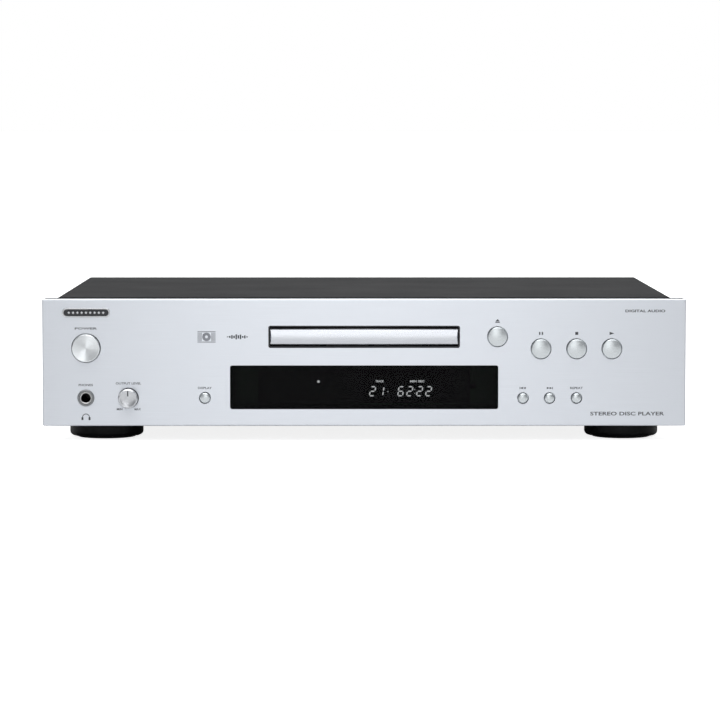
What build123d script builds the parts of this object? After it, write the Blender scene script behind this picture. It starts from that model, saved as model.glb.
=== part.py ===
from build123d import *
import math
import os

# Full-width hi-fi CD player with a central tray loader. Millimetres.
# +X is the right-hand end seen from the front, the front faces -Y, +Z is up.
# The origin lies on the resting surface, midway across and midway front to back.

# ---------------------------------------------------------------- case
FACE_WIDTH = 435.0
FACE_HALF = FACE_WIDTH / 2
FACE_BOTTOM = 10.5
FACE_HEIGHT = 86.0
FACE_TOP = FACE_BOTTOM + FACE_HEIGHT
FACE_THICKNESS = 7.0
FACE_EDGE = 0.9                      # rounding of the front edges
CASE_DEPTH = 300.0                   # front plate to the back of the cover
FACE_FRONT = -CASE_DEPTH / 2
FACE_BACK = FACE_FRONT + FACE_THICKNESS
CASE_BACK = CASE_DEPTH / 2
PROTRUSION = 8.0                     # knob in front of, and sockets behind, the case

FRAME_DEPTH = 15.0                   # moulded frame behind the front plate
FRAME_BACK = FACE_BACK + FRAME_DEPTH
FRAME_INSET = 0.5                    # frame edge behind the plate's edge
FRAME_WALL = 2.5
FRAME_PLATE = 3.0
FRAME_PLATE_BACK = FACE_BACK + FRAME_PLATE
FRAME_OPENING_HALF = 206.0           # opening to the rear, inside the frame's edge
FRAME_OPENING_Z = (15.0, 93.0)
FRAME_POST = 3.0
FRAME_POST_X = (-198.0, -100.0, 100.0, 198.0)
FRAME_POST_Z = (20.0, 86.0)

SHEET = 1.0                          # steel thickness of cover, tray and rear panel
COVER_HALF = 209.5
COVER_BEND = 2.0
COVER_LIP = 11.0                     # rear edge folded down over the rear panel
CHASSIS_BOTTOM = FACE_BOTTOM + FRAME_INSET
CHASSIS_FLOOR = CHASSIS_BOTTOM + SHEET
CHASSIS_HALF = 208.0
CHASSIS_FLANGE = 12.0
CHASSIS_FRONT_FLANGE = 6.5
REAR_PANEL_FRONT = CASE_BACK - SHEET - 1.2
REAR_PANEL_BACK = REAR_PANEL_FRONT + SHEET
REAR_PANEL_TOP = FACE_TOP - SHEET - 0.4
VENT_SLOT = 2.6                      # slots in the floor
POWER_VENT_X = (-176.0, -128.0)
POWER_VENT_HALF = 16.0
POWER_VENT_Y = 58.0
POWER_VENT_PITCH = 7.0
MAIN_VENT_X = (112.0, 168.0)
MAIN_VENT_PITCH = 9.0
VENT_ROWS = 9
PANEL_VENT_LEFT = -90.0              # upright slots in the rear panel
PANEL_VENT_PITCH = 9.0
PANEL_VENT_WIDTH = 3.0
PANEL_VENT_Z = (58.0, 76.0)
PANEL_VENTS = 14

# ---------------------------------------------------------------- feet
FOOT_X = 177.0
FOOT_Y = 110.0
FOOT_RADIUS = 25.2
FOOT_EDGE = 3.0
FOOT_LIFT = 1.0                      # moulding held off the surface by its pad
PAD_RADIUS = 20.0
PAD_HOLE = 7.0
PAD_THICKNESS = 2.0

# ---------------------------------------------------------------- front controls
# name: (x, z, diameter, height of the cap in front of the plate, travel)
BUTTONS = {
    "power_button": (-187.9, 63.3, 18.8, 3.0, 1.0),
    "display_button": (-107.7, 29.6, 7.0, 1.5, 0.7),
    "eject_button": (90.1, 71.0, 13.0, 2.0, 0.7),
    "pause_button": (119.5, 62.8, 13.0, 2.0, 0.7),
    "stop_button": (143.6, 62.8, 13.0, 2.0, 0.7),
    "play_button": (167.4, 62.8, 13.0, 2.0, 0.7),
    "previous_button": (107.4, 29.4, 6.7, 1.5, 0.7),
    "next_button": (125.4, 29.4, 6.7, 1.5, 0.7),
    "repeat_button": (143.6, 29.4, 6.7, 1.5, 0.7),
}
BUTTON_GAP = 0.6                     # round each cap in the front plate
BUTTON_FLANGE = 1.2                  # retaining flange beyond the cap
BUTTON_FLANGE_THICKNESS = 1.5
BUTTON_DOME = 0.8                    # rise of the cap's domed face
BUTTON_STEM = 1.8
BUTTON_SWITCH_GAP = 0.2              # stem to switch at full travel

KNOB_X = -159.4
KNOB_Z = 29.5
KNOB_RADIUS = 6.6
KNOB_GAP = 0.4
KNOB_FRONT = FACE_FRONT - PROTRUSION
KNOB_BACK = FACE_BACK - 1.0
SHAFT_RADIUS = 3.0
SHAFT_FRONT = -154.0
SHAFT_BACK = -134.0
SHAFT_FLAT = 1.6                     # axis to the flat that drives the knob
SHAFT_FLAT_BACK = -144.5
PRESS_GAP = 0.02                     # radial, knob on its shaft
POT_SIDE = 14.0
POT_FRONT = -138.5
POT_NECK = 4.5
INDEX_HALF = 0.45                    # index groove in the knob's face
INDEX_START = 1.5
INDEX_DEPTH = 0.6

JACK_X = -188.2
JACK_Z = 29.5
JACK_RING = 5.6
JACK_BARREL = 4.4
JACK_BORE = 3.25                     # takes a 6.35 mm plug
JACK_BLOCK = 14.0
JACK_BLOCK_FRONT = -138.0
JACK_BACK = -110.0

BADGE_X = -187.7
BADGE_Z = 87.3
BADGE_WIDTH = 32.4
BADGE_HEIGHT = 6.4
BADGE_THICKNESS = 0.8

WINDOW_X = 0.0
WINDOW_Z = 36.7
WINDOW_WIDTH = 181.4
WINDOW_HEIGHT = 29.7
WINDOW_GAP = 0.2
WINDOW_CORNER = 1.5
WINDOW_WALL = 2.0
WINDOW_FLANGE = 3.0
WINDOW_FLANGE_THICKNESS = 1.5

TUBE_HALF = 72.0                     # display tube
TUBE_FRONT = -140.0
TUBE_BACK = -134.5
TUBE_Z = (25.0, 48.0)
TUBE_PIN_HALF = 0.3
TUBE_PIN_Z = (26.0, 27.0)
TUBE_PIN_PITCH = 6
TUBE_PIN_REACH = 66

BOARD = 1.6                          # circuit board thickness
FRONT_BOARD_FRONT = -132.0
FRONT_BOARD_HALF = 203.0
FRONT_BOARD_Z = (16.0, 92.0)
BOARD_CUT_HALF = 69.0                # cut-out round the tray
BOARD_CUT_BOTTOM = 60.0
SWITCH_SIDE = 6.0
SWITCH_HEIGHT = 3.5
SWITCH_PLUNGER = 0.5
SWITCH_PLUNGER_RADIUS = 1.7
SWITCH_FACE = FRONT_BOARD_FRONT - SWITCH_HEIGHT - SWITCH_PLUNGER

# ---------------------------------------------------------------- tray and loader
SLOT_Z = 70.9
SLOT_WIDTH = 129.5
SLOT_HEIGHT = 15.1
SLOT_CORNER = 1.4
SLOT_LINER = 0.9
TRAY_FRONT_WIDTH = 126.8
TRAY_FRONT_HEIGHT = 11.4
TRAY_FRONT_DEPTH = 5.0
TRAY_FRONT_FACE = FACE_FRONT + 0.3
TRAY_FRONT_CROWN = 0.7
TRAY_FRONT_BEVEL = 0.9
DISC_Y = -75.0
DISC_WELL = 60.6
SMALL_WELL = 40.6
TRAY_HALF = 62.3
TRAY_BOTTOM = 67.0
TRAY_TOP = 74.0
DISC_FLOOR = 70.6
SMALL_FLOOR = 69.4
TRAY_NOTCH = 22.0                    # half width of the spindle and pickup opening
TRAY_FRONT_Y = TRAY_FRONT_FACE + TRAY_FRONT_DEPTH
TRAY_BACK = 45.0

LOADER_FRONT = -124.0
LOADER_BACK = 58.0
LOADER_FLOOR = 50.0
LOADER_SKIN = 2.0
LOADER_DECK = LOADER_FLOOR + LOADER_SKIN
LOADER_HALF = 76.0
LOADER_WALL_IN = 63.0
LOADER_WALL_OUT = 66.0
LOADER_WALL_TOP = 80.0
BRIDGE_BOTTOM = 84.0
BRIDGE_SHEET = 1.2
BRIDGE_HALF = 18.0

MODULE = 1.0                         # loading gears
TRAY_GEAR_TEETH = 18
SMALL_GEAR_TEETH = 10
TRAY_GEAR_X = -47.0
TRAY_GEAR_Y = -100.0
TRAY_GEAR_PHASE = 10.0               # a gap faces the rack, at 180 degrees
PULLEY_GEAR_X = -44.0
LOAD_GEAR_BOTTOM = 64.7
LOAD_GEAR_TOP = 66.6
PULLEY_RADIUS = 10.0
MOTOR_PULLEY_RADIUS = 3.0
PULLEY_BOTTOM = 54.2
PULLEY_TOP = 58.2
MOTOR_Y = -58.0
PIN_RADIUS = 1.5
RUNNING_GAP = 0.05                   # radial, shaft in its bore
BELT = 1.0
BELT_GAP = 0.05

HINGE_Y = 20.0                       # traverse deck pivots here, at its rear
HINGE_Z = 61.0
HINGE_RADIUS = 2.0
DECK_LEFT = -32.0
DECK_RIGHT = 44.0
DECK_FRONT = -104.0
DECK_BACK = 24.0
DECK_BOTTOM = 60.0
DECK_TOP = 62.0
CAM_FRONT = -109.0
CAM_BACK = -107.0
CAM_PINS_X = (-25.0, 35.0)
CAM_PIN_Z = 58.0
CAM_TRAVEL = 10.05
CAM_DWELL = 5.0
CAM_CLEARANCE = 0.3

SEAT_Z = 75.3                        # underside of a clamped disc
PLATTER_RADIUS = 14.5
CONE_RADIUS = 7.3
CLAMP_GAP = 1.5
SPINDLE_RADIUS = 1.0
SPINDLE_BOSS_TOP = 64.5
RAIL_X = 22.0
RAIL_Z = 64.0
RAIL_FRONT = -68.0
RAIL_BACK = 0.0
SLED_FRONT = -62.0
SLED_LENGTH = 24.0
SLED_TRAVEL = 33.0
SLED_MODULE = 0.8
RAIL_RADIUS = 1.25
RACK_PITCH_X = 27.2
SLED_GEAR_Y = -31.0
SLED_RACK_BOTTOM = 63.9
SLED_RACK_TOP = 65.9
LENS_SEAT = 71.5
LENS_TOP = 73.6
LENS_RADIUS = 2.6
LENS_RISE = 0.9
SLED_SMALL_TEETH = 10
SLED_LARGE_TEETH = 20
SLED_PINION_TEETH = 8

# ---------------------------------------------------------------- electronics
BOARD_BOTTOM = 20.0
BOARD_TOP = BOARD_BOTTOM + BOARD
RIBBON = 0.4
TRANSFORMER_BOTTOM = CHASSIS_FLOOR + 2.0
CORE_LEFT = -186.0
CORE_RIGHT = -118.0
CORE_Y = (70.0, 100.0)
CORE_HEIGHT = 56.0
CORE_LIMB = 11.0
CORE_WINDOW = 11.5
COIL_PROUD = 12.0
# x, y, radius, height
CAPACITORS = (
    (-176, 12, 11.0, 30.0), (-150, 12, 11.0, 30.0), (-126, 14, 8.0, 25.0), (-108, 14, 6.3, 20.0),
    (-182, -28, 5.0, 12.0), (-166, -28, 5.0, 12.0), (178, 70, 5.0, 12.0), (178, 86, 5.0, 12.0),
    (160, 70, 5.0, 12.0), (160, 86, 5.0, 12.0), (100, 6, 6.3, 16.0), (118, 6, 6.3, 16.0),
)
# x, y, side
CHIPS = ((112, 66, 20.0), (142, 46, 14.0), (106, 100, 10.0), (-140, -30, 12.0))

# ---------------------------------------------------------------- rear connectors
SOCKET_RADIUS = 4.15                 # phono socket sleeve
SOCKET_BORE = 3.3
SOCKET_PIN = 1.6
SOCKET_BACK = CASE_BACK + PROTRUSION
ANALOG_X = 168.0
ANALOG_Z = (38.0, 54.0)
COAXIAL_X = 128.0
COAXIAL_Z = 38.0
OPTICAL_X = 128.0
OPTICAL_Z = 54.0
OPTICAL_SIDE = 6.8
OPTICAL_DEPTH = 8.0
REMOTE_X = 94.0
REMOTE_Z = (38.0, 50.0)
REMOTE_BORE = 1.85                   # takes a 3.5 mm plug
REMOTE_SIDE = 11.0
INLET_X = -172.0
INLET_Z = 44.0
INLET_WIDTH = 18.0
INLET_HEIGHT = 10.0
INLET_WALL = 2.5
INLET_DEPTH = 12.0
INLET_PIN_X = 4.3
INLET_PIN_RADIUS = 1.2

SCREW_HEAD = 3.2
SCREW_SHANK = 1.5
SCREW_HEAD_HEIGHT = 1.8
CASE_SCREW = 5.0                     # shank lengths
FLOOR_SCREW = 10.0


# ---------------------------------------------------------------- building helpers
def block(x, y, z):
    """A box between two limits on each axis."""
    middle = [(low + high) / 2 for low, high in (x, y, z)]
    size = [high - low for low, high in (x, y, z)]
    return Pos(*middle) * Box(*size)


def post(x, y, radius, low, high):
    """A cylinder standing along Z."""
    return Pos(x, y, (low + high) / 2) * Cylinder(radius, high - low)


def rod(x, z, radius, front, back):
    """A cylinder lying along Y."""
    return Pos(x, (front + back) / 2, z) * Rot(90, 0, 0) * Cylinder(radius, back - front)


def cross_rod(y, z, radius, left, right):
    """A cylinder lying along X."""
    return Pos((left + right) / 2, y, z) * Rot(0, 90, 0) * Cylinder(radius, right - left)


def window_block(x, z, width, height, corner, front, back):
    """A rounded rectangle seen from the front, carried along Y."""
    outline = Plane.XZ.offset(-back) * Pos(x, z) * RectangleRounded(width, height, corner)
    return extrude(outline, back - front)


def crown(radius, edge, top):
    """An arc from a round cap's edge to its top on the axis, part of a sphere centred on the axis."""
    rise = top - edge
    sphere = (radius ** 2 + rise ** 2) / (2 * abs(rise))
    sag = sphere - math.sqrt(sphere ** 2 - (radius / 2) ** 2)
    middle = top - math.copysign(sag, rise)
    return ThreePointArc((radius, edge), (radius / 2, middle), (0, top))


def gear(x, y, module, teeth, bottom, top, phase):
    """A spur gear with straight-sided teeth; one tooth points at angle phase, in degrees."""
    pitch = module * teeth / 2
    root = pitch - 1.15 * module
    tip = pitch + 0.75 * module
    step = 2 * math.pi / teeth
    points = []
    for tooth in range(teeth):
        centre = math.radians(phase) + tooth * step
        for radius, share in ((root, -0.30), (tip, -0.10), (tip, 0.10), (root, 0.30)):
            angle = centre + share * step
            points.append((radius * math.cos(angle), radius * math.sin(angle)))
    outline = make_face(Polyline(points, close=True))
    return Pos(x, y, bottom) * extrude(outline, top - bottom)


def rack(pitch_x, module, start, end, phase_y, bottom, top):
    """Teeth along Y that point to +X from a rack's bar; one tooth stands at phase_y."""
    pitch = math.pi * module
    first = math.ceil((start - phase_y) / pitch + 0.5)
    last = math.floor((end - phase_y) / pitch - 0.5)
    back = pitch_x - 1.15 * module
    tip = pitch_x + 0.75 * module
    profile = []
    for tooth in range(first, last + 1):
        middle = phase_y + tooth * pitch
        profile.append((back, middle - 0.30 * pitch))
        profile.append((tip, middle - 0.10 * pitch))
        profile.append((tip, middle + 0.10 * pitch))
        profile.append((back, middle + 0.30 * pitch))
    outline = [(back - 2 * module, start), (back, start), *profile, (back, end), (back - 2 * module, end)]
    return Pos(0, 0, bottom) * extrude(make_face(Polyline(outline, close=True)), top - bottom)


def screw(place, length):
    """A pan-head screw with its head along +Z of the place, seated at its origin."""
    head = Pos(0, 0, SCREW_HEAD_HEIGHT / 2) * Cylinder(SCREW_HEAD, SCREW_HEAD_HEIGHT)
    head = fillet(head.edges().sort_by(Axis.Z)[-1], 0.9)
    shank = Pos(0, 0, -length / 2) * Cylinder(SCREW_SHANK, length)
    cross = Pos(0, 0, SCREW_HEAD_HEIGHT) * (Box(3.2, 0.7, 1.6) + Box(0.7, 3.2, 1.6))
    return place * (head + shank - cross)


def save(name, *solids):
    """Writes one node; several solids stay separate inside it."""
    shape = solids[0] if len(solids) == 1 else Compound(children=[s.solid() for s in solids])
    export_step(shape, f"parts/{name}.step")


# ---------------------------------------------------------------- case
def front_panel():
    """Thick aluminium front plate with the tray slot, window and control holes."""
    plate = block((-FACE_HALF, FACE_HALF), (FACE_FRONT, FACE_BACK), (FACE_BOTTOM, FACE_TOP))
    plate = fillet(plate.edges().filter_by(Axis.Y), FACE_EDGE)
    plate = fillet(plate.faces().sort_by(Axis.Y)[0].edges(), FACE_EDGE)
    past = 1.0
    front, back = FACE_FRONT - past, FACE_BACK + past
    plate -= window_block(0, SLOT_Z, SLOT_WIDTH, SLOT_HEIGHT, SLOT_CORNER, front, back)
    plate -= window_block(WINDOW_X, WINDOW_Z, WINDOW_WIDTH, WINDOW_HEIGHT, WINDOW_CORNER, front, back)
    for x, z, diameter, _, _ in BUTTONS.values():
        plate -= rod(x, z, diameter / 2 + BUTTON_GAP, front, back)
    plate -= rod(KNOB_X, KNOB_Z, KNOB_RADIUS + KNOB_GAP, front, back)
    plate -= rod(JACK_X, JACK_Z, JACK_RING + 0.15, front, back)
    return plate


def front_frame():
    """Moulded frame that carries the front plate, with a liner that reaches into the tray slot."""
    x_out = FACE_HALF - FRAME_INSET
    low, high = FACE_BOTTOM + FRAME_INSET, FACE_TOP - FRAME_INSET
    frame = block((-x_out, x_out), (FACE_BACK, FRAME_BACK), (low, high))
    frame -= block(
        (-x_out + FRAME_WALL, x_out - FRAME_WALL),
        (FRAME_PLATE_BACK, FRAME_BACK - FRAME_WALL),
        (low + FRAME_WALL, high - FRAME_WALL),
    )
    opening = (-FRAME_OPENING_HALF, FRAME_OPENING_HALF)
    frame -= block(opening, (FRAME_PLATE_BACK, FRAME_BACK + 1), FRAME_OPENING_Z)
    liner = window_block(
        0, SLOT_Z, SLOT_WIDTH - 0.1, SLOT_HEIGHT - 0.1, SLOT_CORNER, FACE_FRONT + 0.8, FRAME_PLATE_BACK
    )
    mouth_width = SLOT_WIDTH - 2 * SLOT_LINER
    mouth_height = SLOT_HEIGHT - 2 * SLOT_LINER
    frame += liner
    frame -= window_block(0, SLOT_Z, mouth_width, mouth_height, 0.8, FACE_FRONT - 1, FRAME_BACK + 1)
    flange_width = WINDOW_WIDTH + 2 * WINDOW_FLANGE + 0.6
    flange_height = WINDOW_HEIGHT + 2 * WINDOW_FLANGE + 0.6
    frame -= window_block(
        WINDOW_X, WINDOW_Z, flange_width, flange_height, 2.0, FACE_BACK - 0.5, FRAME_PLATE_BACK + 1
    )
    for x, z, diameter, _, _ in BUTTONS.values():
        frame -= rod(x, z, diameter / 2 + BUTTON_FLANGE + 0.6, FACE_BACK - 1, FRAME_PLATE_BACK + 1)
    frame -= rod(KNOB_X, KNOB_Z, KNOB_RADIUS + 0.8, FACE_BACK - 1, FRAME_PLATE_BACK + 1)
    frame -= rod(JACK_X, JACK_Z, JACK_RING + 0.3, FACE_BACK - 1, FRAME_PLATE_BACK + 1)
    for x in FRAME_POST_X:
        for z in FRAME_POST_Z:
            frame += rod(x, z, FRAME_POST, FRAME_PLATE_BACK - 0.5, FRONT_BOARD_FRONT)
    return frame


def name_badge():
    """Small blank oval plate on the upper left of the front."""
    plate = window_block(
        BADGE_X, BADGE_Z, BADGE_WIDTH, BADGE_HEIGHT, BADGE_HEIGHT / 2 - 0.05,
        FACE_FRONT - BADGE_THICKNESS, FACE_FRONT,
    )
    return fillet(plate.faces().sort_by(Axis.Y)[0].edges(), 0.3)


def display_window():
    """Smoked window: a plate in the front's opening, with walls back to a flange."""
    width = WINDOW_WIDTH - 2 * WINDOW_GAP
    height = WINDOW_HEIGHT - 2 * WINDOW_GAP
    front = FACE_FRONT + 0.3
    plate = window_block(WINDOW_X, WINDOW_Z, width, height, 1.4, front, FACE_BACK)
    flange = window_block(
        WINDOW_X, WINDOW_Z, width + 2 * WINDOW_FLANGE, height + 2 * WINDOW_FLANGE, 1.6,
        FACE_BACK, FACE_BACK + WINDOW_FLANGE_THICKNESS,
    )
    hollow = window_block(
        WINDOW_X, WINDOW_Z, width - 2 * WINDOW_WALL, height - 2 * WINDOW_WALL, 1.0,
        front + WINDOW_WALL, FACE_BACK + 3,
    )
    return plate + flange - hollow


def display_tube():
    """Fluorescent display tube, standing off the front board on its pins."""
    tube = block((-TUBE_HALF, TUBE_HALF), (TUBE_FRONT, TUBE_BACK), TUBE_Z)
    middle_y, middle_z = (TUBE_FRONT + TUBE_BACK) / 2, sum(TUBE_Z) / 2
    tube += cross_rod(middle_y, middle_z, 1.8, TUBE_HALF, TUBE_HALF + 4)
    for x in range(-TUBE_PIN_REACH, TUBE_PIN_REACH + 1, TUBE_PIN_PITCH):
        tube += block((x - TUBE_PIN_HALF, x + TUBE_PIN_HALF), (TUBE_BACK, FRONT_BOARD_FRONT), TUBE_PIN_Z)
    return tube


def front_board():
    """Circuit board behind the front, cut away round the tray."""
    back = FRONT_BOARD_FRONT + BOARD
    board = block((-FRONT_BOARD_HALF, FRONT_BOARD_HALF), (FRONT_BOARD_FRONT, back), FRONT_BOARD_Z)
    past = (FRONT_BOARD_FRONT - 1, back + 1)
    board -= block((-BOARD_CUT_HALF, BOARD_CUT_HALF), past, (BOARD_CUT_BOTTOM, FRONT_BOARD_Z[1] + 1))
    half = JACK_BLOCK / 2 + 1
    return board - block((JACK_X - half, JACK_X + half), past, (JACK_Z - half, JACK_Z + half))


def tact_switches():
    """One push switch behind each button."""
    switches = []
    half = SWITCH_SIDE / 2
    for x, z, *_ in BUTTONS.values():
        front = FRONT_BOARD_FRONT - SWITCH_HEIGHT
        body = block((x - half, x + half), (front, FRONT_BOARD_FRONT), (z - half, z + half))
        plunger = rod(x, z, SWITCH_PLUNGER_RADIUS, SWITCH_FACE, front)
        switches.append(body + plunger)
    return switches


def phones_jack():
    """Headphone socket: a barrel in the front plate and a block through the front board."""
    half = JACK_BLOCK / 2
    body = rod(JACK_X, JACK_Z, JACK_BARREL, FACE_FRONT + 0.2, JACK_BLOCK_FRONT)
    body += block(
        (JACK_X - half, JACK_X + half), (JACK_BLOCK_FRONT, JACK_BACK), (JACK_Z - half, JACK_Z + half)
    )
    return body - rod(JACK_X, JACK_Z, JACK_BORE, FACE_FRONT - 1, JACK_BACK - 4)


def phones_ring():
    """Metal ring round the mouth of the headphone socket."""
    ring = rod(JACK_X, JACK_Z, JACK_RING, FACE_FRONT - 0.8, FRAME_PLATE_BACK)
    ring = fillet(ring.faces().sort_by(Axis.Y)[0].edges(), 0.5)
    return ring - rod(JACK_X, JACK_Z, JACK_BARREL + RUNNING_GAP, FACE_FRONT - 2, FRAME_PLATE_BACK + 1)


def level_pot():
    """Potentiometer behind the headphone level knob."""
    half = POT_SIDE / 2
    body = block(
        (KNOB_X - half, KNOB_X + half), (POT_FRONT, FRONT_BOARD_FRONT), (KNOB_Z - half, KNOB_Z + half)
    )
    body += rod(KNOB_X, KNOB_Z, POT_NECK, POT_FRONT - 2, POT_FRONT)
    return body - rod(KNOB_X, KNOB_Z, SHAFT_RADIUS + RUNNING_GAP, POT_FRONT - 5, SHAFT_BACK + 0.5)


def shaft_flat(gap):
    """What the flat takes off the shaft, or, moved out by a gap, off the knob's bore."""
    side = SHAFT_RADIUS + 1
    flat = (KNOB_Z + SHAFT_FLAT + gap, KNOB_Z + side)
    return block((KNOB_X - side, KNOB_X + side), (SHAFT_FRONT - 1, SHAFT_FLAT_BACK), flat)


def pot_shaft():
    """Shaft of the potentiometer, with the flat that drives the knob."""
    return rod(KNOB_X, KNOB_Z, SHAFT_RADIUS, SHAFT_FRONT, SHAFT_BACK) - shaft_flat(0)


def level_knob():
    """Small turned knob with a flat-sided bore and an index groove at twelve o'clock."""
    knob = rod(KNOB_X, KNOB_Z, KNOB_RADIUS, KNOB_FRONT, KNOB_BACK)
    knob = chamfer(knob.faces().sort_by(Axis.Y)[0].edges(), 0.8)
    bore = rod(KNOB_X, KNOB_Z, SHAFT_RADIUS + PRESS_GAP, SHAFT_FRONT, KNOB_BACK + 1)
    knob -= bore - shaft_flat(PRESS_GAP)
    groove = block(
        (KNOB_X - INDEX_HALF, KNOB_X + INDEX_HALF), (KNOB_FRONT - 1, KNOB_FRONT + INDEX_DEPTH),
        (KNOB_Z + INDEX_START, KNOB_Z + KNOB_RADIUS + 1),
    )
    return knob - groove


def push_button(x, z, diameter, rise, travel):
    """Domed cap in the front plate, a retaining flange behind it and a stem to its switch."""
    radius = diameter / 2
    front = FACE_FRONT - rise
    edge = front + BUTTON_DOME
    flange_front = FACE_BACK + 0.3
    flange_back = flange_front + BUTTON_FLANGE_THICKNESS
    stem_back = SWITCH_FACE - travel - BUTTON_SWITCH_GAP
    sides = Polyline(
        (0, front), (0, stem_back), (BUTTON_STEM, stem_back), (BUTTON_STEM, flange_back),
        (radius + BUTTON_FLANGE, flange_back), (radius + BUTTON_FLANGE, flange_front),
        (radius, flange_front), (radius, edge),
    )
    outline = make_face(sides + crown(radius, edge, front))
    return Pos(x, 0, z) * revolve(outline, Axis.Y)


def top_cover():
    """Folded steel cover: top, two sides and a lip over the rear panel."""
    bottom = CHASSIS_FLOOR
    outer = block((-COVER_HALF, COVER_HALF), (FRAME_BACK, CASE_BACK), (bottom, FACE_TOP))
    outer = fillet(outer.edges().filter_by(Axis.Y).sort_by(Axis.Z)[-2:], COVER_BEND)
    half = COVER_HALF - SHEET
    inner = block((-half, half), (FRAME_BACK - 1, CASE_BACK - SHEET), (bottom - 1, FACE_TOP - SHEET))
    inner = fillet(inner.edges().filter_by(Axis.Y).sort_by(Axis.Z)[-2:], COVER_BEND - SHEET)
    cover = outer - inner
    cover -= block((-half, half), (CASE_BACK - 2 * SHEET, CASE_BACK + 1), (bottom - 1, FACE_TOP - COVER_LIP))
    for place in side_screw_places() + lip_screw_places():
        cover -= place * Pos(0, 0, -1) * Cylinder(SCREW_SHANK + 0.2, 6)
    return cover


def side_screw_places():
    """Two cover screws on each side, heads outwards."""
    places = []
    for y in (-95.0, 105.0):
        places.append(Pos(COVER_HALF, y, 19.5) * Rot(0, 90, 0))
        places.append(Pos(-COVER_HALF, y, 19.5) * Rot(0, -90, 0))
    return places


def lip_screw_places():
    """Three cover screws along the rear lip, heads to the rear."""
    return [Pos(x, CASE_BACK, FACE_TOP - 5.8) * Rot(-90, 0, 0) for x in (-190.0, 0.0, 190.0)]


def panel_screw_places():
    """Screws that hold the rear panel's lower edge and its connectors."""
    spots = [(-200.0, 18.0), (-60.0, 18.0), (60.0, 18.0), (200.0, 18.0)]
    spots += [(ANALOG_X + 13.0, 46.0), (COAXIAL_X + 12.0, 46.0), (REMOTE_X - 10.0, 44.0)]
    spots += [(INLET_X - 18.5, INLET_Z), (INLET_X + 18.5, INLET_Z)]
    return [Pos(x, REAR_PANEL_BACK, z) * Rot(-90, 0, 0) for x, z in spots]


def floor_screw_places():
    """Screws up through the floor into the loader's posts, heads downwards."""
    return [Pos(x, y, CHASSIS_BOTTOM) * Rot(180, 0, 0) for x, y in loader_posts()]


def foot_screw_places():
    """One screw up through the middle of each foot, its head inside the foot."""
    head_seat = 6.0
    return [Pos(x, y, head_seat) * Rot(180, 0, 0) for x, y in foot_centres()]


def loader_posts():
    return [(x, y) for x in (-71.0, 71.0) for y in (-116.0, 50.0)]


def foot_centres():
    return [(x, y) for x in (-FOOT_X, FOOT_X) for y in (-FOOT_Y, FOOT_Y)]


def bottom_chassis():
    """Steel floor with turned-up edges, stand-offs for the boards and slots under the transformer."""
    front, back = FRAME_BACK, REAR_PANEL_FRONT
    sides = (-CHASSIS_HALF, CHASSIS_HALF)
    floor = block(sides, (front, back), (CHASSIS_BOTTOM, CHASSIS_FLOOR))
    top = CHASSIS_FLOOR + CHASSIS_FLANGE
    for side in (-1, 1):
        x = sorted((side * CHASSIS_HALF, side * (CHASSIS_HALF - SHEET)))
        floor += block(x, (front, back), (CHASSIS_BOTTOM, top))
    floor += block(sides, (front, front + SHEET), (CHASSIS_BOTTOM, CHASSIS_FLOOR + CHASSIS_FRONT_FLANGE))
    floor += block(sides, (back - SHEET, back), (CHASSIS_BOTTOM, top))
    for x, y in board_posts():
        floor += post(x, y, 3.0, CHASSIS_BOTTOM, BOARD_BOTTOM)
    past = (CHASSIS_BOTTOM - 1, CHASSIS_FLOOR + 1)
    for row in range(VENT_ROWS):
        y = POWER_VENT_Y + row * POWER_VENT_PITCH
        for x in POWER_VENT_X:
            floor -= block((x - POWER_VENT_HALF, x + POWER_VENT_HALF), (y, y + VENT_SLOT), past)
        y = row * MAIN_VENT_PITCH
        floor -= block(MAIN_VENT_X, (y, y + VENT_SLOT), past)
    for place in floor_screw_places() + foot_screw_places():
        floor -= place * Cylinder(SCREW_SHANK + 0.2, 40)
    for place in side_screw_places() + panel_screw_places()[:4]:
        floor -= place * Cylinder(SCREW_SHANK + 0.2, 16)
    return floor


def board_posts():
    left = [(x, y) for x in (-196.0, -96.0) for y in (-62.0, 34.0)]
    right = [(x, y) for x in (84.0, 196.0) for y in (-10.0, 128.0)]
    return left + right


def rear_panel():
    """Steel panel with the openings for the connectors."""
    front, back = REAR_PANEL_FRONT, REAR_PANEL_BACK
    panel = block((-CHASSIS_HALF, CHASSIS_HALF), (front, back), (CHASSIS_FLOOR, REAR_PANEL_TOP))
    for x, z in phono_sockets():
        panel -= rod(x, z, SOCKET_RADIUS + 0.85, front - 1, back + 1)
    panel -= window_block(OPTICAL_X, OPTICAL_Z, 11.0, 11.0, 0.5, front - 1, back + 1)
    for z in REMOTE_Z:
        panel -= rod(REMOTE_X, z, 3.6, front - 1, back + 1)
    panel -= window_block(
        INLET_X, INLET_Z, INLET_WIDTH + 2 * INLET_WALL + 0.4, INLET_HEIGHT + 2 * INLET_WALL + 0.4, 2.0,
        front - 1, back + 1,
    )
    for place in lip_screw_places() + panel_screw_places():
        panel -= place * Cylinder(SCREW_SHANK + 0.2, 8)
    for column in range(PANEL_VENTS):
        x = PANEL_VENT_LEFT + column * PANEL_VENT_PITCH
        panel -= block((x, x + PANEL_VENT_WIDTH), (front - 1, back + 1), PANEL_VENT_Z)
    return panel


def foot(x, y):
    """Round moulded foot with a recess for its pad and a deep hole for its screw."""
    body = post(x, y, FOOT_RADIUS, FOOT_LIFT, CHASSIS_BOTTOM)
    body = fillet(body.edges().sort_by(Axis.Z)[0], FOOT_EDGE)
    body -= post(x, y, PAD_RADIUS + 0.3, 0, PAD_THICKNESS)
    body -= post(x, y, 4.5, 0, 6.0)
    return body - post(x, y, SCREW_SHANK + 0.2, 0, CHASSIS_BOTTOM + 1)


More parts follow.
